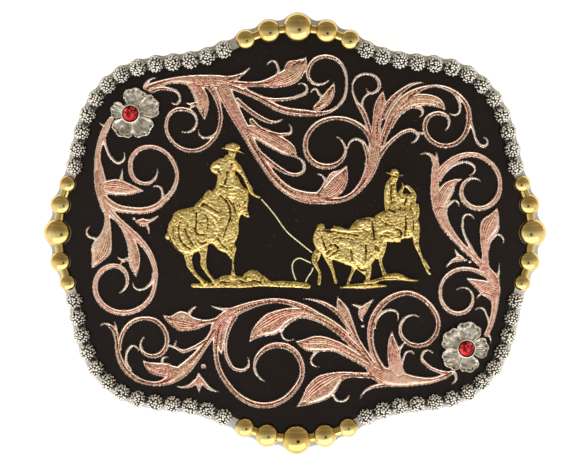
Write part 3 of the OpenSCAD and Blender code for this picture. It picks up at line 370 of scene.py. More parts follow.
def ball(at, radius, lift, squat=1, around=48, rows=22):
    """A ball whose middle is lifted over the face, cut flat where it meets the plate. Its upper half may be
    squat, by the share of its radius that it stands."""
    polar = np.linspace(math.acos(-(lift - SEAT) / radius), 0, rows, endpoint=False)
    upward = radius * np.cos(polar)
    profile = np.stack([radius * np.sin(polar), lift + np.where(upward > 0, squat, 1) * upward], -1)
    tip = np.array([[radius * POLE_SHARE, lift + radius * squat]])
    return capped(tilted(turned(np.concatenate([profile, tip]), around), at))


def neck(a, b, lift, wide=NECK_R, around=16):
    """A straight bar between the middles of two balls: round, or wider than it is high."""
    ends = np.array([[*p[:2], face_z(p[X]) + lift] for p in (a, b)])
    run = (ends[1] - ends[0]) / np.linalg.norm(ends[1] - ends[0])
    side = np.cross(run, [0, 0, 1])
    side /= np.linalg.norm(side)
    angle = np.arange(around) * math.tau / around
    ring = (wide * np.cos(angle)[:, None] * side
            + NECK_R * np.sin(angle)[:, None] * np.cross(run, side))
    return capped(np.stack([ends[0] + ring, ends[1] + ring]))


def gold():
    """Polished yellow gold plate: almost a mirror, with faint wiping marks and paler wear."""
    material, tree, shader = finish("polished_gold")
    height, patch = skin(tree, 1500, 350)
    feed(tree, shader, {
        "Base Color": ramp(tree, patch, (0, (0.6, 0.41, 0.13)), (1, (0.7, 0.55, 0.22))),
        "Roughness": ramp(tree, patch, (0, 0.1), (1, 0.17)),
        "Normal": bump(tree, height, 0.006), "Metallic": 1})
    return material


GOLD = gold()
for side, beads in (("top", TOP_BEADS), ("right", SIDE_BEADS),
                    ("bottom", BOTTOM_BEADS), ("left", LEFT_BEADS)):
    balls = [ball(b, b[R], BEAD_LIFT, BEAD_SQUAT) for b in beads]
    necks = [neck(a, b, BEAD_LIFT, NECK_WIDE) for a, b in zip(beads, beads[1:])]
    piece(f"gold_beads_{side}", joined(balls + necks), GOLD, [f"bead_row_{side}"])

# Silver berries.
# Four rows of thirteen balls covered with soldered grains like a raspberry, silver plated.
# Their colour is painted by height over the core: a black shade in the crevices between the grains and a
# highlight on the grains' tops.
GRAIN_R = 0.27
GRAIN_AT = 1.49
GRAIN_SPREAD = 0.07
LOWEST_GRAIN = 86
# The relief mask is 0, a painted black shade, up to this height over the core, and 1, a painted highlight,
# from this depth under the grains' tops.
SHADE_UP_TO = 0.03
HIGHLIGHT_FROM = 0.07
# Columns of a ring of grains: degrees from the top, number of grains.
GRAIN_RINGS = [[0, 1], [21, 6], [42, 12], [62, 15], [82, 13]]


def grains(at, turn, spread, sides=7, rows=5):
    """Small closed balls on a berry's core: a ring at each angle from the top, each ball a little off its
    place and its size, and none so low that it meets the enamel."""
    polar = np.concatenate([np.full(n, math.radians(a)) for a, n in GRAIN_RINGS])
    around = np.concatenate([np.arange(n) * math.tau / n + a * turn for a, n in GRAIN_RINGS])
    polar = np.minimum(polar + spread[:, 0], math.radians(LOWEST_GRAIN))
    around = around + spread[:, 1]
    places = GRAIN_AT * np.stack([
        np.sin(polar) * np.cos(around), np.sin(polar) * np.sin(around), np.cos(polar)], -1)
    places[:, 2] += BERRY_LIFT
    row = np.linspace(math.pi, 0, rows)
    profile = np.stack([np.maximum(np.sin(row), 2 * POLE_SHARE), np.cos(row)], -1) * GRAIN_R
    points, faces = capped(turned(profile, sides))
    size = 1 + spread[:, 2, None, None]
    return joined([(grain, faces) for grain in tilted(points * size + places[:, None], at)])


def store(obj, label, values):
    """Stores a mask from 0 to 1 on a piece's points. In the relief mask, 0 is a groove's painted shade and 1
    a rim's painted highlight.
    """
    layer = obj.data.attributes.new(label, "FLOAT", "POINT")
    layer.data.foreach_set("value", np.clip(values, 0, 1).astype(np.float32))


def stored(tree, label):
    """A stored mask, read in a material."""
    return put(tree, "ShaderNodeAttribute", attribute_name=label).outputs["Fac"]


def silver():
    """Silver grains: a painted black shade in the crevices and a painted highlight on their tops, by height
    over the core.
    """
    material, tree, shader = finish("berry_silver")
    height, patch = skin(tree, 2500, 300)
    colour = ramp(tree, stored(tree, "relief_shading"), (0.0, (0.035, 0.028, 0.022)), (0.35, (0.12, 0.1, 0.08)),
                  (0.65, (0.44, 0.41, 0.34)), (1, (0.95, 0.9, 0.81)))
    feed(tree, shader, {
        "Base Color": colour, "Roughness": ramp(tree, patch, (0, 0.2), (1, 0.32)),
        "Normal": bump(tree, height, 0.01), "Metallic": 0.55})
    return material


SILVER = silver()
rng = np.random.default_rng(7)
grain_count = sum(n for _, n in GRAIN_RINGS)
for end, end_name in ((1, "top"), (-1, "bottom")):
    for side, side_name in ((1, "right"), (-1, "left")):
        row = berries(side, end)
        shells = [neck(a, b, BERRY_LIFT) for a, b in zip(row, row[1:])]
        shells += [ball(b, CORE_R, BERRY_LIFT, around=24, rows=10) for b in row]
        shells += [grains(b, rng.uniform(0, 6), rng.normal(0, GRAIN_SPREAD, (grain_count, 3)))
                   for b in row]
        shell = joined(shells)
        middles = bent(np.array(row)[:, :2], BERRY_LIFT)
        far = np.sqrt(((shell[0][:, None] - middles[None]) ** 2).sum(-1)).min(1)
        made = piece(f"berries_{end_name}_{side_name}", shell, SILVER,
                     [f"berry_row_{end_name}_{side_name}"], sharp=60)
        black, bright = CORE_R + SHADE_UP_TO, GRAIN_AT + GRAIN_R - HIGHLIGHT_FROM
        # The mask paints shade low on the berry and a highlight on the grains' tops.
        store(made, "relief_shading", (far - black) / (bright - black))

# Copper scrolls.
# Four overlays, each one casting about 0.7 mm thick, rose copper plated and soldered on the enamel.
# Their edges are rolled up to a rim, which is painted with a highlight; inside it the graver cut grooves,
# veins and flutes, painted darker as shade and dark fill, and punched the ground of the stems with dots,
# which stay dark.
OVERLAY_LOW = ENAMEL_T + SEAT
GRID = 0.1
TIP = 0.3
# Columns of a stroke: x, y, width of the metal there. TIP is its width at a point, and GRID the step of the
# grid on which a casting is worked out.
SCROLL_TOP = [
    # stem from the flower to its first point
    [[-29.3, 29.2, 1.6], [-27, 30.1, 1.3], [-24, 30.7, 1.4], [-20, 30.6, 2.4], [-16, 30.4, 2.8],
        [-12.5, 30.9, 1.6], [-10.6, 31.9, 0.7], [-9.1, 33.1, TIP]],
    [[-30.2, 29.2, 0.8], [-29.5, 30.5, 0.6], [-27.9, 31.2, TIP]],
    [[-28.7, 28.6, 1], [-25.5, 29, 0.8], [-23.2, 27.8, 0.6], [-23.1, 26.6, 0.6], [-23.8, 25.9, 0.5],
        [-24.6, 26.2, TIP]],
    [[-20.5, 29.8, 2], [-18.9, 27.5, 2.8], [-18.4, 25.3, 2.4], [-18.1, 22.9, TIP]],
    [[-19, 26.4, 1], [-20.5, 25.9, 0.8], [-21.6, 26.1, TIP]],
    [[-19, 26, 1], [-20.2, 25.6, 0.7], [-21, 25.1, TIP]],
    # first coil
    [[-17, 29.5, 1.6], [-15.3, 26, 1], [-14.9, 22.3, 0.9], [-16.4, 18.8, 0.9], [-20.3, 16.6, 0.9],
        [-24.4, 18.3, 0.8], [-25.8, 21.8, 0.8], [-24.6, 24.4, 0.8], [-22.2, 24.9, 0.9], [-19.8, 23.3, 0.6],
        [-20.3, 20.9, 0.6], [-22.6, 20.4, TIP]],
    [[-15.9, 19.8, 0.8], [-17, 19.3, 0.6], [-18.3, 19.2, 0.6], [-19.1, 19.8, 0.4], [-19.3, 20.7, TIP]],
    # leaf and second coil
    [[-13, 30.2, 1.3], [-7, 29.9, 1.3], [-3.5, 30.5, 2.8], [-0.5, 31.8, 3.6], [1.2, 33.4, 2.4],
        [2.2, 35.2, TIP]],
    [[-0.8, 32.2, 2.6], [-0.9, 33.3, 2.3], [0.5, 34.2, 1.2], [1.9, 35, TIP]],
    [[-3.8, 31.2, 0.9], [-3.4, 33.2, 0.6], [-4.4, 34.5, 0.5], [-5.5, 33.8, TIP]],
    [[-13, 29.5, 1.2], [-8, 27.5, 1.2], [-2, 24.6, 1.5], [2, 24.1, 1.5], [5, 24, 1], [7.5, 24.7, 0.7],
        [9.5, 26.6, 0.7], [10.3, 29.5, 0.7], [10, 32.4, 0.7], [8.6, 34.6, 0.8], [6.3, 35.4, 0.9],
        [4, 34.8, 0.9], [2.8, 33.2, 0.9], [2.7, 31.2, 0.8], [3.8, 30, 0.7], [5.5, 29.9, 0.5],
        [6.7, 30.6, TIP]],
    [[4.3, 25.2, 1.4], [6, 26.5, 2.2], [7.1, 28.2, 1.8], [7.8, 30.1, TIP]],
    [[6, 26.8, 1], [4.9, 27.8, 0.6], [4, 28.9, 0.5], [3.2, 28.3, TIP]],
    [[-10, 28.8, 0.9], [-6.5, 27.1, 0.8], [-2.5, 26.8, 0.8], [0.5, 27.4, 0.7], [2.3, 28.5, 0.7],
        [2.3, 29.4, 0.5], [0.8, 29.9, TIP]],
    [[-11.5, 26.7, 1], [-9.2, 24.7, 1], [-6.8, 23.1, 1], [-4.7, 22.3, 0.8], [-2.6, 22.8, TIP]],
    # big leaf in the middle
    [[-9, 20.8, 2], [-6, 19.4, 3], [-3, 17.8, 3.2], [-1, 16.6, 2.6], [0.3, 15.3, TIP]],
    [[-8.7, 22.6, 1], [-7, 21, 1], [-5, 20.1, 1], [-2.5, 19.8, 0.8], [-0.8, 20.4, 0.6],
        [-1.1, 21.7, TIP]],
    [[-7.8, 16.9, 1], [-5, 14.4, 1], [-3, 12.9, 1], [-1.2, 12, 0.8], [0.4, 11.8, 0.8], [1.7, 12.6, 0.7],
        [1.8, 13.8, 0.7], [0.3, 15.2, TIP]],
    # lower band to the leaf at the right
    [[-14.3, 28.9, 3], [-12, 24.2, 2.6], [-10, 20.6, 2.2], [-8.3, 17.3, 1.8], [-6, 13.6, 1.7],
        [-4, 10.9, 1.8], [-1, 8.4, 2], [2, 7.3, 2.4], [5, 7, 2.4], [8, 6.6, 1.3], [11, 7.5, 1.2],
        [13, 9.3, 1.5], [14.7, 12, 2.2], [15.6, 14.8, 2.8], [16, 17.2, 2.8]],
    [[4.6, 7.8, 1.4], [5.6, 9.2, 0.9], [6, 10.6, 0.7], [4.6, 11.9, TIP]],
    [[5, 7.6, 2], [7.5, 8.8, 3.4], [9, 10.6, 3.2], [10.3, 13.5, TIP]],
    [[6.6, 10.6, 0.8], [7.6, 12, 0.8], [8.6, 12.3, 0.7], [10, 13, 0.5]],
    # coil below the right leaf and the tendril beside it
    [[14.6, 14, 1.2], [14.2, 17, 1], [13.4, 18.4, 0.7], [12.1, 18.9, 0.6], [11, 18.3, 0.5],
        [10.6, 17.2, TIP]],
    [[15.3, 18.3, 1.2], [14.4, 20.2, 1.1], [12, 22.2, 1], [8, 23.1, 0.9], [4, 21.6, 1], [2.05, 17.8, 1.1],
        [2.8, 15.2, 1.2], [6, 13.4, 1.3], [9.2, 14.6, 0.9], [10.05, 16.2, 0.7], [9.6, 18.2, 0.5],
        [8.4, 19.3, TIP]],
    [[15.3, 19.5, 0.9], [14.6, 21.7, 1], [13.5, 24.5, 1.1], [12.2, 26.6, 0.6], [11.5, 28.8, 0.5],
        [11.7, 30.4, 0.5], [12.8, 31.6, 0.6], [14.6, 31.9, 0.6], [16.3, 31.2, 0.7], [16.9, 29.8, 0.8],
        [16.3, 28.5, 0.7], [15.3, 28.1, 0.4], [14.3, 28.9, TIP]],
    [[14, 24, 0.8], [13.4, 26, 0.6], [13.9, 27.3, 0.5], [15.2, 28.1, 0.5]],
    # centre spike and the sweep above the right coil
    [[16.1, 17.3, 2.6], [16.3, 21.5, 1.9], [16.9, 25, 2.4], [17.3, 26.8, 1.8], [17.6, 28.4, TIP]],
    [[17.4, 23.5, 1.6], [19.6, 27, 1.3], [21.5, 28.7, 1], [23.5, 29.9, 0.7], [25.7, 30.2, TIP]],
    # right coil, its tail and its leaf
    [[17.3, 18, 1.4], [18.8, 22, 1.8], [20.3, 24.7, 2.2], [22.5, 27.2, 2], [25.5, 29.1, 0.9],
        [28.3, 29.6, 0.7], [31, 28.9, 0.9], [33.3, 27.4, 0.9], [34.7, 25.2, 1.1], [34.8, 22, 1.1],
        [33.7, 19.4, 1], [32, 18, 1], [30, 17.6, 1], [27.8, 18.3, 1], [26.4, 19.8, 1], [26, 21.5, 1.1],
        [26.6, 23.2, 1], [27.8, 24, 0.9], [29.2, 24.1, 0.9], [30.6, 23.4, 0.7], [30.9, 22.3, 0.6],
        [30.2, 20.8, TIP]],
    [[34.8, 23.4, 1], [35.8, 20.8, 0.6], [36.4, 18.8, 0.6], [37.3, 17.7, 0.7], [38.1, 17.6, 0.7],
        [38, 19.3, TIP]],
    [[31.6, 28.6, 0.8], [32.7, 27, 0.7], [33.1, 25.5, 0.6], [32.6, 24, 0.5], [31.1, 24.1, TIP]],
    [[21, 24.8, 2], [24, 26.6, 2.4], [27, 26.7, 2.4], [29, 26, 1.8], [30, 24.9, TIP]],
    [[19.3, 21.5, 0.9], [21, 23.9, 0.7], [22.6, 25.2, 0.8], [24.2, 25.4, 0.8], [25.6, 24.4, 0.6],
        [25, 23.4, TIP]],
    [[16.8, 15.5, 1.2], [18.2, 17.4, 0.9], [20, 19.2, 0.8], [21.8, 20.4, 0.8], [23.4, 20.7, 0.8],
        [24.6, 20.1, 0.7], [26, 20.3, 0.6]],
    [[24.6, 20, 0.7], [24.3, 18.8, 0.5], [23.4, 18.2, TIP]],
]
SCROLL_LEFT = [
    # stem from the flower, with its claw
    [[-36.9, 23, 1.2], [-38.3, 20.5, 1.5], [-39.3, 17.8, 1.3], [-39.7, 15, 1.4], [-39.4, 12.3, 2.2],
        [-39, 9.5, 2.6], [-38.7, 7, 1.9], [-38.2, 4.8, 1.3]],
    [[-37.7, 21.5, 0.8], [-38.4, 21.7, 0.5], [-39.2, 22.2, TIP]],
    [[-38.4, 19.6, 0.9], [-37.9, 17.3, 0.6], [-36.9, 15.2, 0.6], [-35.3, 14.2, 0.6], [-34.3, 15, 0.5],
        [-34.3, 16.2, TIP]],
    [[-38.5, 9.2, 2.4], [-36, 9.3, 3.4], [-33.6, 8.9, 2.6], [-30.5, 8.6, TIP]],
    [[-35, 10, 1.2], [-34.8, 11.6, 0.6], [-34.6, 12.9, TIP]],
    # upper coil
    [[-39, 8.2, 1.5], [-37.4, 6.2, 1.6], [-35.4, 5.1, 1.6], [-33, 4.7, 1.5], [-30.5, 4.6, 1.5],
        [-28, 5.3, 1.4], [-26, 6.9, 1.2], [-24.4, 8.8, 1], [-23.6, 11.4, 0.9], [-24.3, 14.2, 0.9],
        [-26, 16.3, 0.9], [-28.7, 17.4, 0.9], [-31.2, 16.9, 1], [-32.7, 15.3, 1], [-33, 13, 1.1],
        [-32.3, 11.1, 1], [-31, 10.2, 0.9], [-29.5, 10.1, 0.8], [-28.1, 11, 0.6], [-27.6, 12.9, TIP]],
    [[-27.1, 6, 0.9], [-26.5, 8, 0.6], [-27.2, 9.4, 0.5], [-28.3, 9.4, TIP]],
    # lower coil
    [[-38.3, 6.3, 1.3], [-37.2, 4.6, 1.3], [-35.2, 2.4, 1.4], [-33, 0.4, 1.5], [-31.1, -1.4, 1.4],
        [-29.6, -3.2, 1.3], [-28.5, -5.4, 1.2], [-27.9, -8, 1], [-28.1, -10.4, 0.9], [-29, -12.9, 1],
        [-31, -14.9, 1.1], [-34.2, -15.9, 1.2], [-37.3, -15.2, 1.2], [-39.4, -13.3, 1.2],
        [-40.2, -10.7, 1.2], [-39.6, -8.4, 1.1], [-38, -6.9, 1.1], [-36, -6.5, 1.1], [-34.4, -7.3, 1],
        [-33.6, -9.2, 0.8], [-35.2, -11.9, TIP]],
    [[-28.3, -8, 0.8], [-29.2, -10.3, 0.6], [-30.6, -11.2, 0.5], [-31.8, -11.1, 0.5], [-32.5, -9.9, TIP]],
    # leaf at the left with its hook, leaf inside the lower coil
    [[-37.9, 4.6, 1.2], [-37.7, 2, 1.4], [-38, -0.5, 2.6], [-38.9, -3, 4.2], [-39.8, -5, 2.6],
        [-40.75, -6.8, TIP]],
    [[-38.8, -1.6, 0.9], [-40.2, -1, 0.6], [-41.5, -0.5, 0.6], [-41.9, 0.4, 0.5], [-41.3, 1.3, TIP]],
    [[-35, 2.2, 1.2], [-33.2, -1, 1.7], [-32.3, -4.2, 2.4], [-32.2, -6.3, 2.2], [-31.9, -8.5, TIP]],
    [[-32.8, -4.6, 1], [-34.4, -5.3, 0.7], [-35.5, -4.8, TIP]],
    [[-33.2, -5, 0.8], [-34.4, -5.5, 0.5], [-35, -6, TIP]],
]
SCROLL_BOTTOM = [
    # outer stem at the lower left, with its fork
    [[-39, -18.4, TIP], [-38, -18.1, 0.5], [-37, -18.7, 0.9], [-36.2, -19.7, 1.1], [-35.8, -21.5, 1],
        [-35.6, -23.5, 1.1], [-34.9, -25.8, 1.3], [-33.5, -27.8, 1.3], [-31.6, -29.2, 1.1],
        [-29.2, -30, 1], [-27, -30, 1.2], [-25, -29.2, 2], [-22.5, -27.4, 2.6], [-20.3, -25.2, 2],
        [-18.4, -22.8, 1.4], [-16.6, -20.2, 1.5], [-14.8, -17.4, 2]],
    [[-36, -20.4, 0.9], [-35.9, -19, 0.6], [-36.2, -17.9, TIP]],
    [[-23.5, -27.8, 2.4], [-26.5, -27.3, 2.8], [-28.8, -26.8, 2.2], [-30.4, -25.5, TIP]],
    [[-25.4, -26.4, 0.9], [-26.6, -25.4, 0.6], [-25.5, -24.8, TIP]],
    [[-35.2, -23, 0.9], [-34.9, -20.8, 0.9], [-33.9, -18.8, 0.9], [-32.3, -17.5, 0.9], [-30.2, -17, 0.9],
        [-28, -17.4, 1], [-26.3, -19, 1], [-25.6, -21, 1], [-26, -23, 1], [-27.3, -24.3, 1],
        [-29, -24.5, 0.9], [-30.6, -23.5, 0.7], [-30.3, -20.8, TIP]],
    [[-33.2, -27.2, 0.9], [-33.9, -25.2, 0.6], [-33.6, -23.6, 0.6], [-32.4, -22.5, 0.5],
        [-31.4, -23.4, TIP]],
    # leaf that points left and the tendril under it
    [[-14, -16.6, 1.2], [-17.5, -17.7, 1.1], [-20.5, -18, 2.8], [-22.9, -17.5, 4.1], [-25, -17.2, 1.8],
        [-26.25, -16.4, TIP]],
    [[-21.6, -16.8, 0.9], [-20.8, -15.4, 0.6], [-19.8, -14.55, TIP]],
    [[-16.6, -20.6, 1], [-18.6, -21.9, 0.9], [-20.5, -22.9, 0.8], [-22.5, -23.5, 0.8], [-24, -22.8, 0.6],
        [-25.6, -22.3, 0.5]],
    [[-24.2, -22.7, 0.5], [-23.8, -21.5, TIP]],
    # band to the right
    [[-15.8, -18.9, 2.2], [-14.4, -17.2, 2.6], [-12.5, -15.8, 2.1], [-10, -14.7, 1.7],
        [-7, -13.8, 1.3], [-4, -13.4, 1.1], [-1, -13.8, 1.2], [2, -14.9, 1.4], [5, -16.7, 1.5],
        [8, -18.9, 1.5], [11, -21.6, 1.5], [13.5, -24, 1.5], [16, -27, 2]],
    [[-12.7, -15.2, 0.9], [-15, -15, 0.6], [-16.6, -14.5, TIP]],
    # big coil below, with its taper and tendril
    [[-14.8, -17.8, 1.8], [-15.7, -21, 1.3], [-15.8, -24, 1.1], [-15.2, -27, 1.1], [-13.5, -30, 1.1],
        [-11, -32.6, 1.2], [-8, -34.1, 1.3], [-5.5, -34.3, 1.3], [-2.5, -33.3, 1.2], [0, -31, 1.2],
        [1.4, -28.2, 1.1], [1, -25.2, 1.2], [-0.8, -23, 1.3], [-3.3, -22.3, 1.3], [-5.8, -22.9, 1.1],
        [-7.5, -24.5, 0.9], [-8.1, -26.4, 0.7], [-7.6, -28.2, 0.6], [-6.1, -29.5, TIP]],
    [[-14.4, -18, 2.4], [-14.9, -21, 1.8], [-14.7, -24, TIP]],
    [[-12, -16.6, 1.2], [-13.4, -19.4, 0.9], [-13.9, -22, 0.8], [-13.5, -25, 0.8], [-11.9, -27.1, 0.8],
        [-9.7, -26.9, 0.7], [-9.4, -24.8, TIP]],
    # leaves between the coil and the flower
    [[10, -20.2, 1.6], [7, -18, 1.9], [4, -16.5, 2], [1, -15.9, 2.2], [-2, -16.5, 3.2], [-4.8, -18.1, 4.5],
        [-7.4, -19.6, 2.6], [-9, -21.5, TIP]],
    [[-0.4, -17, 1], [-1.9, -18.4, 0.6], [-2.7, -19.9, 0.5], [-1.8, -21.2, 0.4], [-0.3, -21.1, TIP]],
    [[15.1, -25.2, 1.1], [12.3, -21, 1.2], [10.7, -17.8, 2], [9.5, -15.3, 2.4], [8.5, -12.7, TIP]],
    [[9.8, -17, 1], [8, -15.3, 1], [5.5, -13.8, 0.8], [3.5, -13.2, 0.5], [1.8, -13, TIP]],
    [[17, -27.3, 2.2], [12, -24.6, 2], [8, -22.5, 2.4], [4.7, -22, 3.3], [2.4, -22.1, 2.6],
        [0.3, -21.5, TIP]],
    [[5.6, -22.8, 1], [3.9, -24, 0.6], [3.2, -25.5, 0.5], [4.75, -26.6, TIP]],
    [[17.4, -28.6, 1.6], [13, -28.3, 1.2], [9.5, -28.4, 1.8], [6.2, -30.3, 4.8], [3.8, -32, 4.2],
        [2, -33.5, 2], [0.5, -34.5, TIP]],
    [[8.6, -29.3, 0.9], [7.6, -31.5, 0.6], [8.8, -33.5, 0.5], [10.2, -33.2, 0.5], [10.8, -32.4, TIP]],
    [[20, -30.1, 1], [17, -30.4, 0.9], [15.2, -30.8, 0.7], [14, -31.5, 0.5], [13.1, -32.8, TIP]],
    # stem to the flower
    [[15, -26.3, 2.2], [17, -28.1, 3.4], [19, -28.8, 3.6], [21, -29.2, 3.2], [24, -29.5, 2.1],
        [27.5, -29.4, 1.3], [30, -28.6, 1.1], [31.4, -27.8, 0.9]],
    [[31.8, -27.8, 0.8], [32.3, -29.2, 0.6], [31.5, -30.1, TIP]],
    # coil over the stem and what grows from it
    [[18.4, -28.4, 1.8], [16.4, -25.5, 1.5], [15.3, -22.5, 1.3], [15.1, -19.5, 1.5], [15.7, -16.8, 1.4],
        [17.3, -14.3, 1.3], [19.8, -12.5, 1.2], [22.7, -11.9, 1.1], [25.4, -12.9, 1], [27.6, -15, 1],
        [28.7, -17.6, 1], [28.2, -20.2, 1], [26.6, -21.9, 1], [24.2, -22.4, 1], [22.3, -21.6, 0.9],
        [21.1, -19.8, 0.8], [21.4, -17.7, 0.7], [23, -16.4, 0.5], [24.7, -16.6, TIP]],
    [[15.8, -18.6, 0.9], [17.3, -16, 0.6], [18.8, -15.3, 0.6], [20.3, -15.7, 0.5], [20.6, -17.2, TIP]],
    [[20.6, -28.3, 3], [20, -26, 2.8], [19.7, -23.5, 2.6], [19.4, -21.5, 1.6], [19.4, -19.7, TIP]],
    [[20.4, -24.4, 1], [21, -23, 0.7], [22, -21.8, TIP]],
    [[21.2, -27.2, 0.9], [21.7, -25, 0.5], [22.4, -23.7, 0.5], [23.8, -24, TIP]],
    [[30.7, -28, 0.9], [28.3, -27.4, 0.8], [26.5, -26.4, 0.8], [25.4, -24.6, 0.7], [26.2, -23.5, 0.5],
        [27.6, -23.9, TIP]],
]
SCROLL_RIGHT = [
    # stem up from the flower
    [[38.4, -20.3, 1], [39.2, -18.6, 1.2], [39.9, -16.3, 1.3], [40.2, -14, 1.6], [40.1, -11.5, 2.4],
        [39.8, -9.3, 2.4], [38.6, -7.4, 1.8], [37.2, -6, 1.3]],
    [[38.6, -20, 0.7], [39.2, -20.9, 0.5], [39.3, -21.9, TIP]],
    [[40.3, -10.6, 1.4], [40.9, -8, 0.6], [41.1, -6.1, TIP]],
    [[39.8, -11.3, 3.2], [37.5, -10.5, 2.6], [36, -9.7, 1.4], [34.6, -9, TIP]],
    [[39.5, -13, 1], [38.3, -12.4, 0.7], [37.3, -12.2, 0.5], [36.6, -12.9, TIP]],
    # coil at the flower's side
    [[39.3, -8.9, 1.2], [37.5, -7.9, 1], [35.5, -7.2, 0.9], [33.3, -7.1, 0.9], [31, -8, 0.9],
        [29.5, -9.8, 0.8], [29.1, -12, 0.8], [29.7, -14.1, 0.9], [31.2, -15.6, 0.9], [33.2, -16, 1],
        [34.9, -15.1, 0.9], [35.7, -13.3, 0.7], [35.4, -11.8, 0.5], [34.2, -10.9, 0.4],
        [32.5, -11.2, TIP]],
    [[39.2, -19, 0.8], [38.6, -16.6, 0.5], [37.6, -15, 0.5], [36.3, -15.2, TIP]],
    # leaf at the right with its hook
    [[38.4, -7.4, 1.6], [38.2, -4, 1.5], [38.3, -1, 2.4], [39.2, 1.6, 4], [40.1, 3.4, 2.2],
        [40.6, 5, TIP]],
    [[38.7, -2.8, 0.8], [39.8, -0.8, 0.6], [40.8, -0.2, 0.5], [41.7, -0.7, 0.5], [41.9, -1.8, TIP]],
    [[36.8, -5.4, 0.9], [35.1, -2.4, 0.7], [34, -0.2, 0.6], [33.6, 1.8, 0.6], [34.3, 3.8, 0.5],
        [35.9, 3.1, TIP]],
    # main stem up to the fork
    [[38.6, -7.6, 1.4], [36.4, -5.2, 1.3], [34, -3, 1.3], [31.8, -0.6, 1.6], [30, 2.1, 2.1],
        [29, 4.9, 2.7], [28.2, 7.8, 2.2], [28, 10.5, 1.7], [28.1, 13, 1.6]],
    [[28.1, 12.4, 1.5], [27.9, 14.6, 1.1], [26.9, 15.9, 0.6], [25.25, 15.9, TIP]],
    [[28.2, 12.6, 1.4], [28.4, 14.6, 0.9], [28.3, 16.2, TIP]],
    # upper coil
    [[28.2, 10.4, 1.3], [29.7, 13.2, 1.3], [31.5, 14.7, 1.3], [33.8, 15.7, 1.2], [36.3, 15.8, 1.1],
        [38.8, 14.6, 1], [40.6, 12.6, 1], [41.25, 10, 1], [40.8, 7.6, 1.1], [39.4, 5.9, 1.1],
        [37, 5.05, 1.1], [34.9, 5.7, 1.1], [33.6, 7.2, 1.1], [33.5, 9.2, 0.9], [34.3, 10.5, 0.8],
        [35.6, 11.1, 0.6], [37.25, 10.5, TIP]],
    [[29, 10.8, 0.9], [31, 13.2, 0.7], [32.8, 14.1, 0.6], [34.5, 14.3, 0.6], [36.1, 13, 0.5],
        [35.1, 11.7, TIP]],
    [[28.9, 5.2, 2.6], [29.7, 7.4, 3], [30.9, 9.3, 2.6], [32, 10.4, 1.2], [33.4, 10.9, TIP]],
    [[30, 4.6, 1], [31, 6, 0.6], [32.2, 6.6, 0.5], [32.9, 5.6, TIP]],
]


def eased(value, start, span):
    """Smooth step from 0 at start to 1 at start plus span."""
    t = np.clip((value - start) / span, 0, 1)
    return t * t * (3 - 2 * t)


def ridge(value, middle, width):
    """A round bump of height 1 at the middle, gone about two widths away."""
    return np.exp(-((value - middle) / width) ** 2)


LEAST_WIDTH = 0.2


def traced(stroke, steps=32):
    """A stroke's pieces, each a row of places, half widths and headings: near-circular arcs through the
    stroke's points, whose heading at a point is that of the circle through it and its two neighbours."""
    rows = np.array(stroke, float)
    spots, width = rows[:, :2], rows[:, 2]
    chord = np.diff(spots, axis=0)
    long = np.hypot(*chord.T)[:, None]
    line = chord / long
    if len(rows) > 2:
        inner = chord[:-1] / long[:-1] ** 2 + chord[1:] / long[1:] ** 2
        inner /= np.hypot(*inner.T)[:, None]
        ends = [2 * (h @ c) * c - h for h, c in ((inner[0], line[0]), (inner[-1], line[-1]))]
        heading = np.concatenate([ends[:1], inner, ends[1:]])
    else:
        heading = np.repeat(line, 2, 0)
    turn = np.arccos(np.clip((heading[:-1] * heading[1:]).sum(1), -1, 1))[:, None]
    handle = long / (3 * np.cos(turn / 4) ** 2)
    a, d = spots[:-1, None], spots[1:, None]
    b, c = a + (handle * heading[:-1])[:, None], d - (handle * heading[1:])[:, None]
    u = np.linspace(0, 1, steps)[None, :, None]
    place = (1 - u) ** 3 * a + 3 * (1 - u) ** 2 * u * b + 3 * (1 - u) * u ** 2 * c + u ** 3 * d
    run = (1 - u) ** 2 * (b - a) + 2 * (1 - u) * u * (c - b) + u ** 2 * (d - c)
    run /= np.hypot(run[..., 0], run[..., 1])[..., None]
    slope = np.gradient(width)
    w0, w3 = width[:-1, None], width[1:, None]
    w1, w2 = w0 + slope[:-1, None] / 3, w3 - slope[1:, None] / 3
    u = u[..., 0]
    wide = (1 - u) ** 3 * w0 + 3 * (1 - u) ** 2 * u * w1 + 3 * (1 - u) * u ** 2 * w2 + u ** 3 * w3
    return place, np.maximum(wide, LEAST_WIDTH) / 2, run


FAR = 9.0
SEAM_WIDE = 0.12


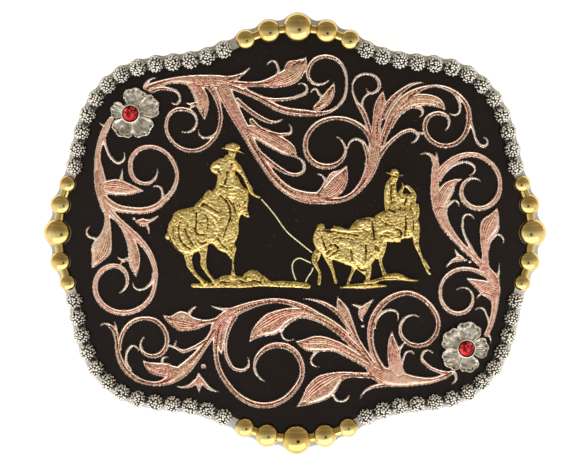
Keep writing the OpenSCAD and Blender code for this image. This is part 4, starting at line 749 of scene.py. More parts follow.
def cast_field(strokes, like=None, margin=0.4):
    """On a grid over the strokes, or on that of a field like it: deep, how far inside the outline a point
    lies, the half width at the nearest place on a stroke's middle line less the way there, whichever stroke
    gives most; that half width; the point's side of the line, outer side of its curl positive; the nearest
    place; second, the depth in any other stroke; and domes, each stroke's own depth and half width."""
    lines = [traced(s) for s in strokes]
    if like:
        f = {"x": like["x"], "y": like["y"]}
    else:
        ends = np.concatenate([np.concatenate([p - h[..., None], p + h[..., None]]).reshape(-1, 2)
                               for p, h, _ in lines])
        start = np.floor((ends.min(0) - margin) / GRID) * GRID
        count = np.ceil((ends.max(0) + margin - start) / GRID).astype(int) + 1
        axes = [s + GRID * np.arange(n) for s, n in zip(start, count)]
        f = dict(zip("xy", np.meshgrid(*axes, indexing="ij")))
    low, shape = np.array([f["x"][0, 0], f["y"][0, 0]]), f["x"].shape
    nothing = {"deep": -FAR, "half": LEAST_WIDTH, "side": 0.0, "near_x": 0.0, "near_y": 0.0}
    f.update({name: np.full(shape, value) for name, value in nothing.items()})
    f.update(second=np.full(shape, -FAR), domes=[])
    for place, half, run in lines:
        flat = run.reshape(-1, 2)
        outer = -np.sign((flat[:-1, 0] * flat[1:, 1] - flat[:-1, 1] * flat[1:, 0]).sum() + 1e-9)
        own = {name: np.full(shape, value) for name, value in nothing.items()}
        way = np.full(shape, FAR)
        for p, h, r in zip(place, half, run):
            near = h.max() + margin
            i0, j0 = ((p.min(0) - near - low) / GRID).astype(int).clip(0)
            i1, j1 = ((p.max(0) + near - low) / GRID).astype(int) + 2
            window = (slice(i0, i1), slice(j0, j1))
            gap = np.stack([f["x"][window], f["y"][window]], -1)[:, :, None] - p
            far = np.hypot(gap[..., 0], gap[..., 1])
            best = far.argmin(2)
            far = np.take_along_axis(far, best[..., None], 2)[..., 0]
            off = np.take_along_axis(gap, best[..., None, None], 2)[:, :, 0]
            across = outer * (r[best, 0] * off[..., 1] - r[best, 1] * off[..., 0])
            wins = far < way[window]
            way[window] = np.where(wins, far, way[window])
            for name, value in (("deep", h[best] - far), ("half", h[best]), ("side", across),
                                ("near_x", p[best, 0]), ("near_y", p[best, 1])):
                own[name][window] = np.where(wins, value, own[name][window])
        f["second"] = np.maximum(f["second"], np.minimum(f["deep"], own["deep"]))
        wins = own["deep"] > f["deep"]
        for name in nothing:
            f[name] = np.where(wins, own[name], f[name])
        f["domes"].append((own["deep"], own["half"]))
    return f


def inside_triangles(flat, ring):
    """Triangles across an outline with holes: those of a Delaunay mesh of its points that its directed
    edges run round anticlockwise, told by how often a walk in from the outermost edges crosses them."""
    points, lines, faces, came, drawn, _ = delaunay_2d_cdt(
        [Vector(p) for p in flat.tolist()], ring.tolist(), [], 1, 1e-6)
    left = {}
    for (a, b), sources in zip(lines, drawn):
        for n in sources:
            along = flat[ring[n][1]] - flat[ring[n][0]]
            turn = 1 if np.dot(along, points[b] - points[a]) > 0 else -1
            left[a, b] = left.get((a, b), 0) + turn
            left[b, a] = left.get((b, a), 0) - turn
    edges = {edge: n for n, face in enumerate(faces) for edge in zip(face, face[1:] + face[:1])}
    rounds = {n: left.get(edge, 0) for edge, n in edges.items() if edge[::-1] not in edges}
    waiting = list(rounds)
    while waiting:
        here = waiting.pop()
        face = faces[here]
        for edge in zip(face, face[1:] + face[:1]):
            beside = edges.get(edge[::-1])
            if beside is not None and beside not in rounds:
                rounds[beside] = rounds[here] - left.get(edge, 0)
                waiting.append(beside)
    return [[came[v][0] for v in faces[n]] for n, times in rounds.items()
            if times > 0 and all(came[v] for v in faces[n])]


def cast_skin(f):
    """The closed skin of a casting over its grid: cells with a corner inside the outline, whose outside
    corners are drawn in to the outline; walls down to the back; and a smooth back across the outline.
    f holds the grid and each point's lift. Also gives the grid points used, and those at the border."""
    inside = f["deep"] > 0
    cells = inside[:-1, :-1] | inside[1:, :-1] | inside[:-1, 1:] | inside[1:, 1:]
    rising = cells[:-1, :-1] & cells[1:, 1:] & ~cells[1:, :-1] & ~cells[:-1, 1:]
    cells[1:, :-1] |= rising
    falling = cells[1:, :-1] & cells[:-1, 1:] & ~cells[:-1, :-1] & ~cells[1:, 1:]
    cells[:-1, :-1] |= falling
    used = np.zeros(inside.shape, bool)
    for i in (slice(0, -1), slice(1, None)):
        for j in (slice(0, -1), slice(1, None)):
            used[i, j] |= cells
    away = np.stack([f["x"] - f["near_x"], f["y"] - f["near_y"]], -1)
    far = np.maximum(np.hypot(away[..., 0], away[..., 1]), 1e-6)
    apart = eased(f["deep"] - f["second"], 0, SEAM_WIDE)
    pull = np.where(inside, 0, apart * np.minimum(-f["deep"], 0.8 * GRID) / far)[..., None]
    xy = (np.stack([f["x"], f["y"]], -1) - away * pull)[used]
    number = np.full(used.shape, -1)
    number[used] = np.arange(used.sum())
    sw, se, ne, nw = number[:-1, :-1], number[1:, :-1], number[1:, 1:], number[:-1, 1:]
    quads = np.stack([sw[cells], se[cells], ne[cells], nw[cells]], -1)
    around = np.pad(cells, 1)
    edges = []
    for beside, a, b in ((around[1:-1, :-2], sw, se), (around[2:, 1:-1], se, ne),
                         (around[1:-1, 2:], ne, nw), (around[:-2, 1:-1], nw, sw)):
        rim = cells & ~beside
        edges.append(np.stack([a[rim], b[rim]], -1))
    border, ring = np.unique(np.concatenate(edges), return_inverse=True)
    ring = ring.reshape(-1, 2)
    top = bent(xy, f["lift"][used])
    under = bent(xy[border], OVERLAY_LOW)
    walls = np.concatenate([border[ring[:, ::-1]], ring + len(top)], 1)
    back = [[v + len(top) for v in face[::-1]] for face in inside_triangles(xy[border], ring)]
    return (np.concatenate([top, under]), quads.tolist() + walls.tolist() + back), used, border


def casting(name, f, material, slot, nodes, **masks):
    """A casting's piece, with its masks over the grid stored on its points, 0 on its back."""
    shell, used, border = cast_skin(f)
    obj = piece(name, shell, material, nodes, sharp=50)
    for label, values in masks.items():
        store(obj, label, np.concatenate([values[used], np.zeros(len(border))]))


WALL_H = 0.25
RIM_H = 0.35
RIM_AT = 0.13
RIM_WIDE = 0.12
DOME_H = 0.1
GROOVE_AT = 0.34
GROOVE_WIDE = 0.075
GROOVE_D = 0.16
GUTTER_D = 0.22
FLUTES = 4.5
FLUTE_D = 0.12
VEIN_D = 0.08
GROUND_D = 0.06
SEAM_D = 0.06
# Columns of a polished place: x, y, radius.
POLISHED = [[21.3, -28.8, 4.3], [27, -30, 3], [-23, 30.1, 3.2], [-17, 26.5, 2]]


def engraved(f, punch):
    """Height and masks of a scroll. From the edge inward: a wall, a round rim, a cut line and a slightly
    domed middle. Stems have a gutter along the middle that is as deep as the scroll is punched. Leaves have
    flutes on the outer side of their curl and punched ground beside them, and where two strokes meet at
    equal depth there is a cut between them. Polished places keep only a trace of the cuts."""
    deep, half = np.maximum(f["deep"], 0), f["half"]
    polished = np.maximum.reduce([
        eased(r - np.hypot(f["x"] - x, f["y"] - y), 0, 1.4) for x, y, r in POLISHED])
    busy = 1 - 0.9 * polished
    punch = punch * busy
    place = f["side"] / half
    broad = eased(half, 0.28, 0.2)
    leaf = eased(half, 0.85, 0.35)
    within = eased(deep, GROOVE_AT - 0.08, 0.14)
    rim = ridge(deep, RIM_AT, RIM_WIDE)
    groove = ridge(deep, GROOVE_AT, GROOVE_WIDE) * broad * (0.4 + 0.5 * punch)
    gutter = ridge(place, -0.15, 0.25) * broad * (1 - leaf) * within * punch
    blade = leaf * within * busy
    flute = (0.5 + 0.5 * np.cos(math.tau * FLUTES * place)) ** 2 * eased(place, 0.1, 0.1) * blade
    vein = ridge(place, -0.02, 0.07) * blade
    ground = ridge(place, -0.3, 0.28) * blade
    seam = ridge(f["deep"] - f["second"], 0, SEAM_WIDE) * eased(f["second"], 0.3, 0.2)
    f["lift"] = (OVERLAY_LOW + WALL_H + RIM_H * eased(deep, 0, RIM_AT) + DOME_H * eased(deep, 0.35, 0.6)
                 - GROOVE_D * groove - GUTTER_D * gutter - FLUTE_D * flute - VEIN_D * vein
                 - GROUND_D * ground - SEAM_D * seam)
    # The relief mask is painted light: a highlight along the rim, and shade, with the dark fill the cuts
    # hold, in the grooves, gutter, flutes, veins, seams and punched ground.
    cut_shade_and_fill = np.maximum.reduce([0.9 * groove, 0.9 * gutter, 0.8 * flute, 0.4 * vein, 0.35 * seam,
                             0.3 * ground * punch])
    # A painted highlight on the inner side of a leaf's curl.
    leaf_inner_highlight = 0.2 * eased(-place, 0.5, 0.3) * leaf * busy
    return {"relief_shading": 0.58 + 0.42 * rim + leaf_inner_highlight - 0.55 * cut_shade_and_fill * (1 - 0.8 * rim),
            "punched": gutter + ground * (0.25 + 0.6 * punch) + 0.75 * punch ** 2 * within * (1 - leaf)}


def reckon(tree, operation, *values):
    """A sum, a product or another function of its values, worked out by a shader node."""
    return put(tree, "ShaderNodeMath", dict(enumerate(values)), operation=operation).outputs[0]


def mottle_group():
    """The relief made uneven: a fine speckle, and the relief moved up and down with it by the swing."""
    tree, given, out = group("mottled_relief", [
        ("Relief", "NodeSocketFloat", 0.5), ("Swing", "NodeSocketFloat", 0.2),
        ("Scale", "NodeSocketFloat", 1500), ("Detail", "NodeSocketFloat", 3),
        ("Roughness", "NodeSocketFloat", 0.6)],
        [("Level", "NodeSocketFloat"), ("Mottle", "NodeSocketFloat")])
    mottle = put(tree, "ShaderNodeTexNoise", {
        "Vector": put(tree, "ShaderNodeTexCoord").outputs["Object"],
        **{key: given.outputs[key] for key in ("Scale", "Detail", "Roughness")}}).outputs["Fac"]
    spread = put(tree, "ShaderNodeMapRange", {
        "Value": mottle, "From Min": 0.3, "From Max": 0.7, "To Min": -1, "To Max": 1}).outputs["Result"]
    level = reckon(tree, "MULTIPLY_ADD", spread, given.outputs["Swing"], given.outputs["Relief"])
    feed(tree, out, {"Level": level, "Mottle": mottle})
    return tree


MOTTLED_RELIEF = mottle_group()


def mottled(tree, swing, scale, detail, roughness):
    """Places the mottled relief in a material. Gives the stored relief, that with speckles, the speckles."""
    depth = stored(tree, "relief_shading")
    made = put(tree, "ShaderNodeGroup", {
        "Relief": depth, "Swing": swing, "Scale": scale, "Detail": detail, "Roughness": roughness},
        node_tree=MOTTLED_RELIEF)
    return depth, made.outputs["Level"], made.outputs["Mottle"]


def copper():
    """Rose copper: by the stored mask, brown in the cuts as painted shade with dark fill, pink on the faces,
    pale on the rims as a painted highlight; slow patches turn it yellow, and punched dots darken the ground."""
    material, tree, shader = finish("rose_copper")
    height, patch = skin(tree, 2600, 140)
    depth, level, _ = mottled(tree, 0.16, 1500, 3, 0.6)
    where = put(tree, "ShaderNodeTexCoord").outputs["Object"]
    pink = ramp(tree, level, (0, (0.05, 0.011, 0.006)), (0.25, (0.34, 0.105, 0.065)),
                (0.5, (0.88, 0.47, 0.355)), (0.76, (1.0, 0.75, 0.64)), (1, (1.0, 0.94, 0.88)))
    warm = ramp(tree, level, (0, (0.05, 0.02, 0.01)), (0.25, (0.3, 0.15, 0.08)),
                (0.5, (0.86, 0.56, 0.38)), (0.76, (1.0, 0.81, 0.65)), (1, (1.0, 0.95, 0.86)))
    tone = put(tree, "ShaderNodeMix", {"Factor": patch, "A": pink, "B": warm}, data_type="RGBA")
    dots = put(tree, "ShaderNodeTexVoronoi", {"Vector": where, "Scale": 2100}, voronoi_dimensions="2D")
    dot = ramp(tree, dots.outputs["Distance"], (0.26, 1.0), (0.4, 0.0))
    hit = reckon(tree, "MULTIPLY", dot, stored(tree, "punched"))
    dark = put(tree, "ShaderNodeMix", {
        "Factor": hit, "A": tone.outputs["Result"], "B": (0.07, 0.02, 0.012, 1)}, data_type="RGBA")
    uneven = reckon(tree, "SUBTRACT", height, hit)
    feed(tree, shader, {
        "Base Color": dark.outputs["Result"], "Roughness": ramp(tree, depth, (0, 0.6), (1, 0.3)),
        "Normal": bump(tree, uneven, 0.06), "Metallic": 1})
    return material


COPPER = copper()
for side, strokes, punch in (("top", SCROLL_TOP, 0.8), ("left", SCROLL_LEFT, 0.15),
                             ("bottom", SCROLL_BOTTOM, 0.75), ("right", SCROLL_RIGHT, 0.2)):
    scroll = cast_field(strokes)
    masks = engraved(scroll, punch)
    casting(f"scrollwork_{side}", scroll, COPPER, "copper", [f"scroll_{side}"], **masks)

# Loose buds.
# Four small buds between the scrolls, each with a round dot beyond its foot, made and finished like them.
BUD_LEFT = [
    [[-27.5, 3.5, TIP], [-29.3, 2.5, 0.8], [-30.6, 2.3, 1.6], [-31.9, 2.5, 0.4]],
    [[-29.3, 0.1, TIP], [-29.5, 1.3, 0.7], [-30.6, 2.1, 1.2]],
]
BUD_BOTTOM_LEFT = [
    [[-19.2, -31.6, TIP], [-19.2, -29.8, 1.4], [-19.25, -28.1, 0.6]],
    [[-23.5, -30.6, TIP], [-21.7, -30.7, 0.7], [-20, -29.7, 1], [-19.2, -28.8, 0.9]],
    [[-15.45, -31.6, TIP], [-17.2, -30.9, 0.8], [-18.6, -29.4, 1], [-19.1, -28.8, 0.9]],
]
BUD_BOTTOM_RIGHT = [
    [[15.6, -13.2, TIP], [14.2, -14.6, 1.2], [13.4, -15.6, 1.6], [13.5, -17.5, TIP]],
    [[11.5, -14.2, TIP], [12.8, -14.6, 0.7], [13.7, -15.1, 0.9]],
]
BUD_RIGHT = [
    [[32.1, -3.3, TIP], [32.6, -4.2, 0.7], [33.1, -4.9, 1.2], [34.4, -5.3, 0.4]],
    [[30.4, -6.6, TIP], [31.6, -5.5, 0.8], [33, -5.1, 1.2]],
]
# Columns of a dot: x, y, width. It is a stroke only as long as twice its run.
DOT_LEFT = [-32.3, 3, 0.6]
DOT_BOTTOM_LEFT = [-18.3, -26.55, 1]
DOT_BOTTOM_RIGHT = [13.55, -18.5, 0.6]
DOT_RIGHT = [35.1, -5.7, 0.6]
DOT_RUN = 0.05
BUD_PUNCH = 0.3
for place, strokes, dot in (("left", BUD_LEFT, DOT_LEFT), ("bottom_left", BUD_BOTTOM_LEFT, DOT_BOTTOM_LEFT),
                            ("bottom_right", BUD_BOTTOM_RIGHT, DOT_BOTTOM_RIGHT),
                            ("right", BUD_RIGHT, DOT_RIGHT)):
    x, y, width = dot
    bud = cast_field([*strokes, [[x - DOT_RUN, y, width], [x + DOT_RUN, y, width]]])
    masks = engraved(bud, BUD_PUNCH)
    casting(f"loose_bud_{place}", bud, COPPER, "copper", [f"bud_{place}"], **masks)

# Roping figures.
# Two castings up to 1.1 mm thick: a rider who ropes the heels, and a rider in front with the steer. Each is
# made up of rounded bodies, with creases cut in afterwards, bright gold plated and soldered on the enamel.
FIGURE_TOP = 1.1
FIGURE_EDGE = 0.3
FIGURE_LEAST = 0.12
BODY_ROUND = 1.3
BLEND = 8
UNEVEN_H = 0.09
UNEVEN_SCALE = 2.4
FOLD_H = 0.14
CREASE_D = 0.22
HEELER = [
    # hat, head and body of the rider
    [[-13.4, 17.3, 1.2], [-12.3, 17.4, 1.6], [-11.4, 17.2, 1.1]],
    [[-14.5, 17.1, TIP], [-13.6, 16.9, 0.5], [-12.3, 16.8, 0.6], [-11.2, 16.4, 0.5], [-10.3, 16, TIP]],
    [[-12.9, 14.8, 1.7], [-12.6, 15.8, 1.6], [-12.5, 16.7, 1.8]],
    [[-13.3, 15, 1.8], [-13.5, 14, 3], [-13.7, 12.4, 3.6], [-13.8, 10.6, 3.7], [-13.6, 9, 5]],
    [[-14.4, 14.6, 1.2], [-15.8, 13.6, 1.6], [-16.2, 13.1, 1.6], [-15.3, 12.4, 1.4], [-14.5, 11.8, 1]],
    [[-12.3, 14.6, 0.9], [-11.4, 13.2, 1.5], [-10.4, 11.8, 0.9], [-9.6, 10.2, 0.9], [-9, 9, 1.1],
        [-8.6, 8.1, 0.8], [-7.2, 7.3, 0.6]],
    # body and legs of the horse
    [[-25.4, -0.6, 1.4], [-24.7, -0.4, 4.8], [-23.4, -0.1, 8], [-21.8, 0.4, 9.2], [-20, 1.1, 8.6],
        [-18, 1.6, 8], [-15.5, 1.2, 7]],
    [[-13.2, 9.8, 4.6], [-13.2, 8, 7.4], [-13.9, 6, 9.2], [-14.4, 4, 7.2], [-14.4, 2, 6.4],
        [-14.2, 0, 6], [-13.8, -2, 4.4], [-13, -3.6, 2], [-12.8, -4.9, 0.5]],
    [[-10.6, 8, 2.6], [-10.4, 6, 2.2], [-10.3, 4.8, 1.8], [-9.7, 3.8, 1.2], [-9.4, 3.5, 0.8]],
    [[-19.6, 5.4, 1], [-18.6, 6.5, 1], [-17, 7.4, 1.6]],
    [[-21.3, -3, 3], [-21.3, -5, 1.5], [-21, -6.4, 1.3], [-20.2, -7.8, 0.8], [-18.9, -9.2, 0.8],
        [-17.9, -10, 1]],
    [[-18.6, -2.4, 2.4], [-18.3, -4.4, 1.4], [-18.3, -6.2, 1.3], [-17.7, -7.6, 0.8], [-16.7, -8.9, 0.7],
        [-15.8, -9.9, 1]],
    [[-12.3, -3, 1.2], [-12.4, -5, 0.5], [-12.4, -7, 0.5], [-12.4, -8.8, 1.2]],
    # ground
    [[-20.4, -10.4, 0.8], [-18, -10.4, 1], [-14, -10.3, 1], [-10.5, -10.4, 0.9], [-7, -10.1, 0.9],
        [-3, -10.1, 1.2], [0, -10.2, 1.2], [2.6, -10.5, 1]],
    [[-15.6, -9.7, 0.9], [-14, -9.2, 1.6], [-12, -9.2, 1.6], [-10.2, -9.3, 1.4], [-9.2, -8.8, 2.4],
        [-8.4, -8.7, 2.9], [-7.2, -9, 2], [-5.4, -9.7, 0.9]],
]
# How thick each stroke's body is at its middle, in the order of the strokes.
HEELER_TOPS = [1.08, 1, 0.95, 0.95, 0.8, 0.95, 0.85, 0.75, 0.95, 0.7, 0.6, 0.7, 0.6, 0.45, 0.4, 0.5]
HEELER_FOLDS = [
    # skirt and roll of the saddle, sleeve, front of the coat, brim, nose, ear, mane, tail
    [[-18.9, 5.5, 0.4], [-17, 4.5, 0.6], [-15, 3.3, 0.4]],
    [[-16.9, 3.6, 0.4], [-15.8, 2.4, 0.5], [-15.4, 0.8, 0.4]],
    [[-16.3, 13.4, 0.5], [-15.4, 13.6, 0.6], [-14.8, 13, 0.4]],
    [[-12.9, 12.6, 0.5], [-12.5, 11.4, 0.6], [-12.1, 10, 0.4]],
    [[-14.4, 17.05, 0.3], [-12.3, 16.75, 0.4], [-10.4, 16.05, 0.3]],
    [[-11.95, 15.95, 0.2], [-11.8, 15.6, 0.28]],
    [[-12.8, 16.05, 0.25], [-12.75, 15.75, 0.22]],
    [[-12.4, 9.6, 0.3], [-11, 9.1, 0.3], [-10.2, 8.6, 0.3]],
    [[-24.2, -1, 0.4], [-23.6, -2.4, 0.5], [-22.4, -3.6, 0.3]],
]
HEELER_CREASES = [
    # trouser leg, saddle, blanket
    [[-15, 7.6, 0.35], [-13.4, 6, 0.5], [-12.9, 3.9, 0.55], [-13.7, 1.2, 0.4], [-14.3, -0.7, 0.3]],
    [[-13.8, 7.4, 0.3], [-12.6, 5.9, 0.35], [-11.9, 4.4, 0.3]],
    [[-18.6, 6.2, 0.3], [-17, 5.3, 0.4], [-15.3, 4.2, 0.3]],
    [[-19.7, 4.3, 0.35], [-19.75, 2.2, 0.4], [-19.7, 0.2, 0.45], [-18.2, -0.1, 0.3]],
    [[-17.9, 3.9, 0.25], [-17.4, 2.4, 0.3], [-17.6, 0.9, 0.25]],
    # haunch, flank and tail of the horse
    [[-23, 2.4, 0.25], [-23.3, 0.2, 0.4], [-22.4, -2, 0.4], [-20.9, -3, 0.3]],
    [[-22.1, 1.1, 0.3], [-21.4, -0.6, 0.5], [-20.4, -2.2, 0.3]],
    [[-19.4, -1.2, 0.35], [-18.6, -1.9, 0.5], [-17.8, -1.5, 0.3]],
    [[-25.2, 0.6, 0.2], [-24.9, -1.2, 0.3], [-23.6, -3, 0.25]],
    [[-24.3, 1.4, 0.2], [-24.2, -0.9, 0.3], [-23, -2.9, 0.25]],
    [[-15.6, -0.6, 0.25], [-14.9, -1.8, 0.35], [-13.6, -3, 0.25]],
    # coat, collar, brim, belt
    [[-13.6, 12.4, 0.35], [-13.7, 11, 0.45], [-14.2, 9.8, 0.35]],
    [[-12.7, 14, 0.3], [-12.9, 13.2, 0.35]],
    [[-15.4, 12.8, 0.25], [-14.9, 12.1, 0.3]],
    [[-14.9, 9.6, 0.25], [-13.6, 9.2, 0.3], [-12.4, 9.3, 0.25]],
    [[-13.5, 16.5, 0.25], [-12.3, 16.25, 0.3], [-11.3, 15.85, 0.2]],
    # eye and mouth of the rider
    [[-12.2, 16.08, 0.18], [-12, 16.05, 0.18]],
    [[-12.15, 15.35, 0.15], [-11.9, 15.35, 0.15]],
    # rein, eye and mouth of the horse
    [[-12.3, 6.3, 0.25], [-12, 5, 0.35], [-11.7, 3.8, 0.25]],
    [[-10.15, 5.35, 0.35], [-9.95, 5.25, 0.35]],
    [[-10.1, 7, 0.2], [-10.1, 6.2, 0.25], [-10.9, 5.4, 0.2]],
    [[-9.8, 3.95, 0.2], [-9.3, 3.85, 0.22]],
    # broken ground
    [[-14.6, -9.6, 0.3], [-12.9, -9.9, 0.4], [-11, -9.9, 0.3]],
    [[-10.9, -9.4, 0.35], [-9.8, -9.8, 0.4], [-8.3, -9.4, 0.35], [-6.8, -9.8, 0.3]],
]
HEADER = [
    # steer
    [[4.9, 1.2, 1.2], [5.6, -0.6, 4.8], [7.4, -1.6, 6.6], [9.5, -2.3, 6.8], [11.5, -2.8, 7.4],
        [13.5, -3, 7.8], [15.1, -2.4, 5.2]],
    [[5.2, 1.2, 1.6], [4.9, -1, 1], [4.8, -3, 1.2], [4.2, -4.6, 1.6], [3.9, -5.6, 1.1], [4.3, -6.6, 0.7],
        [4.9, -7.8, 0.6], [4.9, -9, 0.7], [4.8, -10, 0.7]],
    [[6.4, -4.2, 1.8], [7, -6, 1], [7.6, -7.6, 0.7], [7.9, -8.8, 0.6], [8.2, -9.7, 0.7]],
    [[12.4, -5.8, 2], [13.6, -7, 1.8], [14.5, -8, 1.2]],
    [[14.6, -5, 1.4], [14.7, -7.5, 1.2], [14.5, -9.6, 0.9]],
    [[12, -6.2, 1.2], [11.5, -7.6, 0.6], [11, -8.8, 0.5], [10.6, -10.2, 0.6]],
    # horse
    [[11.2, 0.9, 0.8], [12.6, 1.2, 3], [14.2, 1, 4.6], [16.2, 0.8, 5], [18.4, 1.4, 6.4],
        [20.4, 1.6, 6.6], [22.2, 1.4, 6.4], [23.4, 0.6, 4.4], [24.5, -0.6, 1]],
    [[17.4, -1.4, 1.8], [17.6, -3.4, 0.9], [17.1, -4.7, 0.8], [17.1, -5.6, 0.6], [17.5, -7, 0.6],
        [18, -8.3, 0.8]],
    [[14.6, -4.4, 1.2], [16.2, -4.5, 1.3], [17.2, -4.4, 0.9]],
    [[24.2, -0.5, 1.4], [24.4, -2.4, 1], [25.1, -4.2, 0.6], [25.9, -6.2, 0.5], [26.5, -7.4, 0.6],
        [27, -8.1, 0.5]],
    [[25.9, -5.4, 0.4], [26.9, -6.9, TIP]],
    [[22.6, 2.6, 3.6], [22.8, 5, 4], [22.9, 6.6, 3.4], [23.7, 7.8, 1.1], [23.1, 8.9, 0.7],
        [22.2, 9.5, 0.5], [21.5, 9.3, 0.4]],
    [[21.4, 10.1, 0.2], [21.6, 9.2, 0.5], [21.2, 8.4, 0.9], [21.6, 7, 1.6]],
    [[23.8, 5.4, 1.6], [24.3, 4.4, 1.2], [24.4, 3.7, 0.9]],
    # rider
    [[19.9, 11.2, 1], [19.3, 10, 1.9], [19.1, 8.6, 2.4], [19.3, 7, 2.9], [19.5, 5.4, 3], [19.8, 4, 3]],
    [[19.9, 11, 1.3], [20.1, 12, 1.3]],
    [[19.5, 12.2, 1], [20, 12.4, 1.2], [20.5, 12.1, 0.8]],
    [[18.3, 12.2, TIP], [19.3, 11.9, 0.5], [20.5, 11.6, 0.4], [21.5, 11.7, TIP]],
    # ground
    [[9.1, -10.8, 0.4], [11, -10.6, 0.9], [13.7, -10.5, 1.3], [16, -10.5, 0.9], [18.2, -10.5, 0.4]],
    [[14.2, -9.9, 1.2], [15.6, -9.7, 1], [17, -9.2, 0.8], [19, -8.7, 1.5], [21, -8.7, 1.5],
        [22.5, -9.2, 0.8], [24.5, -9.4, 0.4]],
]
HEADER_TOPS = [0.85, 0.55, 0.6, 0.6, 0.7, 0.4, 0.65, 0.4, 0.4, 0.6, 0.5, 0.4, 0.7, 0.4, 0.4, 0.5,
               1.05, 1, 1.05, 1, 0.35, 0.4]
HEADER_FOLDS = [
    # spine and haunch of the steer
    [[5.6, 1.3, 0.4], [8, 0.9, 0.5], [11, 0.6, 0.5], [13.6, 0.6, 0.4]],
    [[9.2, -1.7, 0.7], [10.4, -2, 0.9], [11, -2.8, 0.6]],
    [[5.2, -1.2, 0.4], [5.6, -2.6, 0.5], [6, -4, 0.4]],
    [[12.3, -2.4, 1.2], [12.6, -4, 1.5], [12.7, -5.4, 1]],
    # rump and shoulder of the horse, coat and arm of the rider
    [[13, 1.3, 1.1], [14, 1.9, 1.3], [14.6, 1.2, 0.9]],
    [[17, 0.3, 0.8], [18.6, 1, 1], [20, 0.3, 0.7]],
    [[18.7, 9.7, 0.4], [18.4, 8, 0.5], [18.6, 6.4, 0.4]],
    [[19.8, 9.4, 0.4], [20.1, 7.8, 0.5], [20.7, 6.4, 0.4]],
    [[22.7, 7.4, 0.5], [23.4, 5.6, 0.6], [24, 4.3, 0.5]],
    [[22.7, 1.6, 0.5], [23.2, 0.2, 0.6], [24.1, -1, 0.4]],
    [[18.4, 12, 0.25], [19.6, 11.8, 0.3], [21.3, 11.65, 0.25]],
    # nose
    [[20.45, 11.2, 0.15], [20.5, 11, 0.2]],
]
HEADER_CREASES = [
    # back, haunch and legs of the steer
    [[5.8, 0.7, 0.35], [6.9, 0.4, 0.55], [7.9, 0.5, 0.3]],
    [[5.3, -0.3, 0.25], [5.7, -1.8, 0.35], [6.3, -3.2, 0.3]],
    [[8.4, 0.2, 0.25], [10.5, 0, 0.35], [12.6, -0.4, 0.3]],
    [[8, -0.9, 0.2], [9.8, -0.9, 0.3], [11.6, -1.2, 0.2]],
    [[8, -2.2, 0.5], [8.6, -2.8, 0.6]],
    [[6.9, -2.4, 0.45], [7.2, -2.2, 0.45]],
    [[6, -4.1, 0.25], [7, -3.3, 0.35]],
    [[6.9, -4.6, 0.25], [8, -3.7, 0.35], [9.2, -3.2, 0.25]],
    [[11.1, -2.8, 0.3], [11.25, -3.8, 0.5], [11.4, -5, 0.35]],
    [[14.1, -2.2, 0.3], [14.2, -3.5, 0.5], [14, -5, 0.35]],
    [[12.4, -6.4, 0.3], [13.4, -7.3, 0.4], [14.2, -7.3, 0.3]],
    [[16.1, -2.4, 0.5], [16.4, -2.9, 1], [16.7, -3.3, 0.6]],
    [[4.4, -4.4, 0.25], [4.2, -5.4, 0.3]],
    # rump, saddle, flank and chest of the horse
    [[11.7, 2, 0.3], [13.3, 2.85, 0.4], [15, 2.75, 0.3]],
    [[15.4, 2.6, 0.3], [15.6, 1, 0.5], [15.9, -1.2, 0.35]],
    [[17, 3.1, 0.25], [18.2, 2, 0.35], [19.8, 1.7, 0.25]],
    [[18.8, 4.8, 0.4], [20, 4.4, 0.5]],
    [[20.2, 0.9, 0.45], [21.2, 0.3, 0.55], [21, -0.6, 0.3]],
    [[16.9, -0.7, 0.25], [18, -0.4, 0.35], [19, -0.8, 0.25]],
    [[22.1, 3.6, 0.3], [22.2, 1.6, 0.45], [21.9, -0.4, 0.3]],
    [[23.7, 2.6, 0.25], [23.7, 0.8, 0.35]],
    [[23.3, 6.3, 0.4], [23.1, 4.9, 0.45]],
    [[22.3, 7.2, 0.3], [21.9, 5.8, 0.35]],
    # coat of the rider, brim
    [[19.3, 9.8, 0.25], [19.2, 8, 0.35], [19.4, 6.2, 0.25]],
    [[20.4, 9, 0.2], [20.9, 7.6, 0.3]],
    [[19.1, 11.55, 0.2], [20.1, 11.35, 0.25], [20.9, 11.4, 0.2]],
    # eye and mouth of the rider
    [[20.15, 11.2, 0.15], [20.3, 11.18, 0.15]],
    [[20.2, 10.75, 0.14], [20.4, 10.75, 0.14]],
    # broken ground
    [[10.8, -10.4, 0.25], [13, -10.2, 0.35], [15.4, -10.2, 0.3]],
    [[15.4, -9.6, 0.25], [17.6, -9, 0.35], [20.4, -9, 0.3]],
]


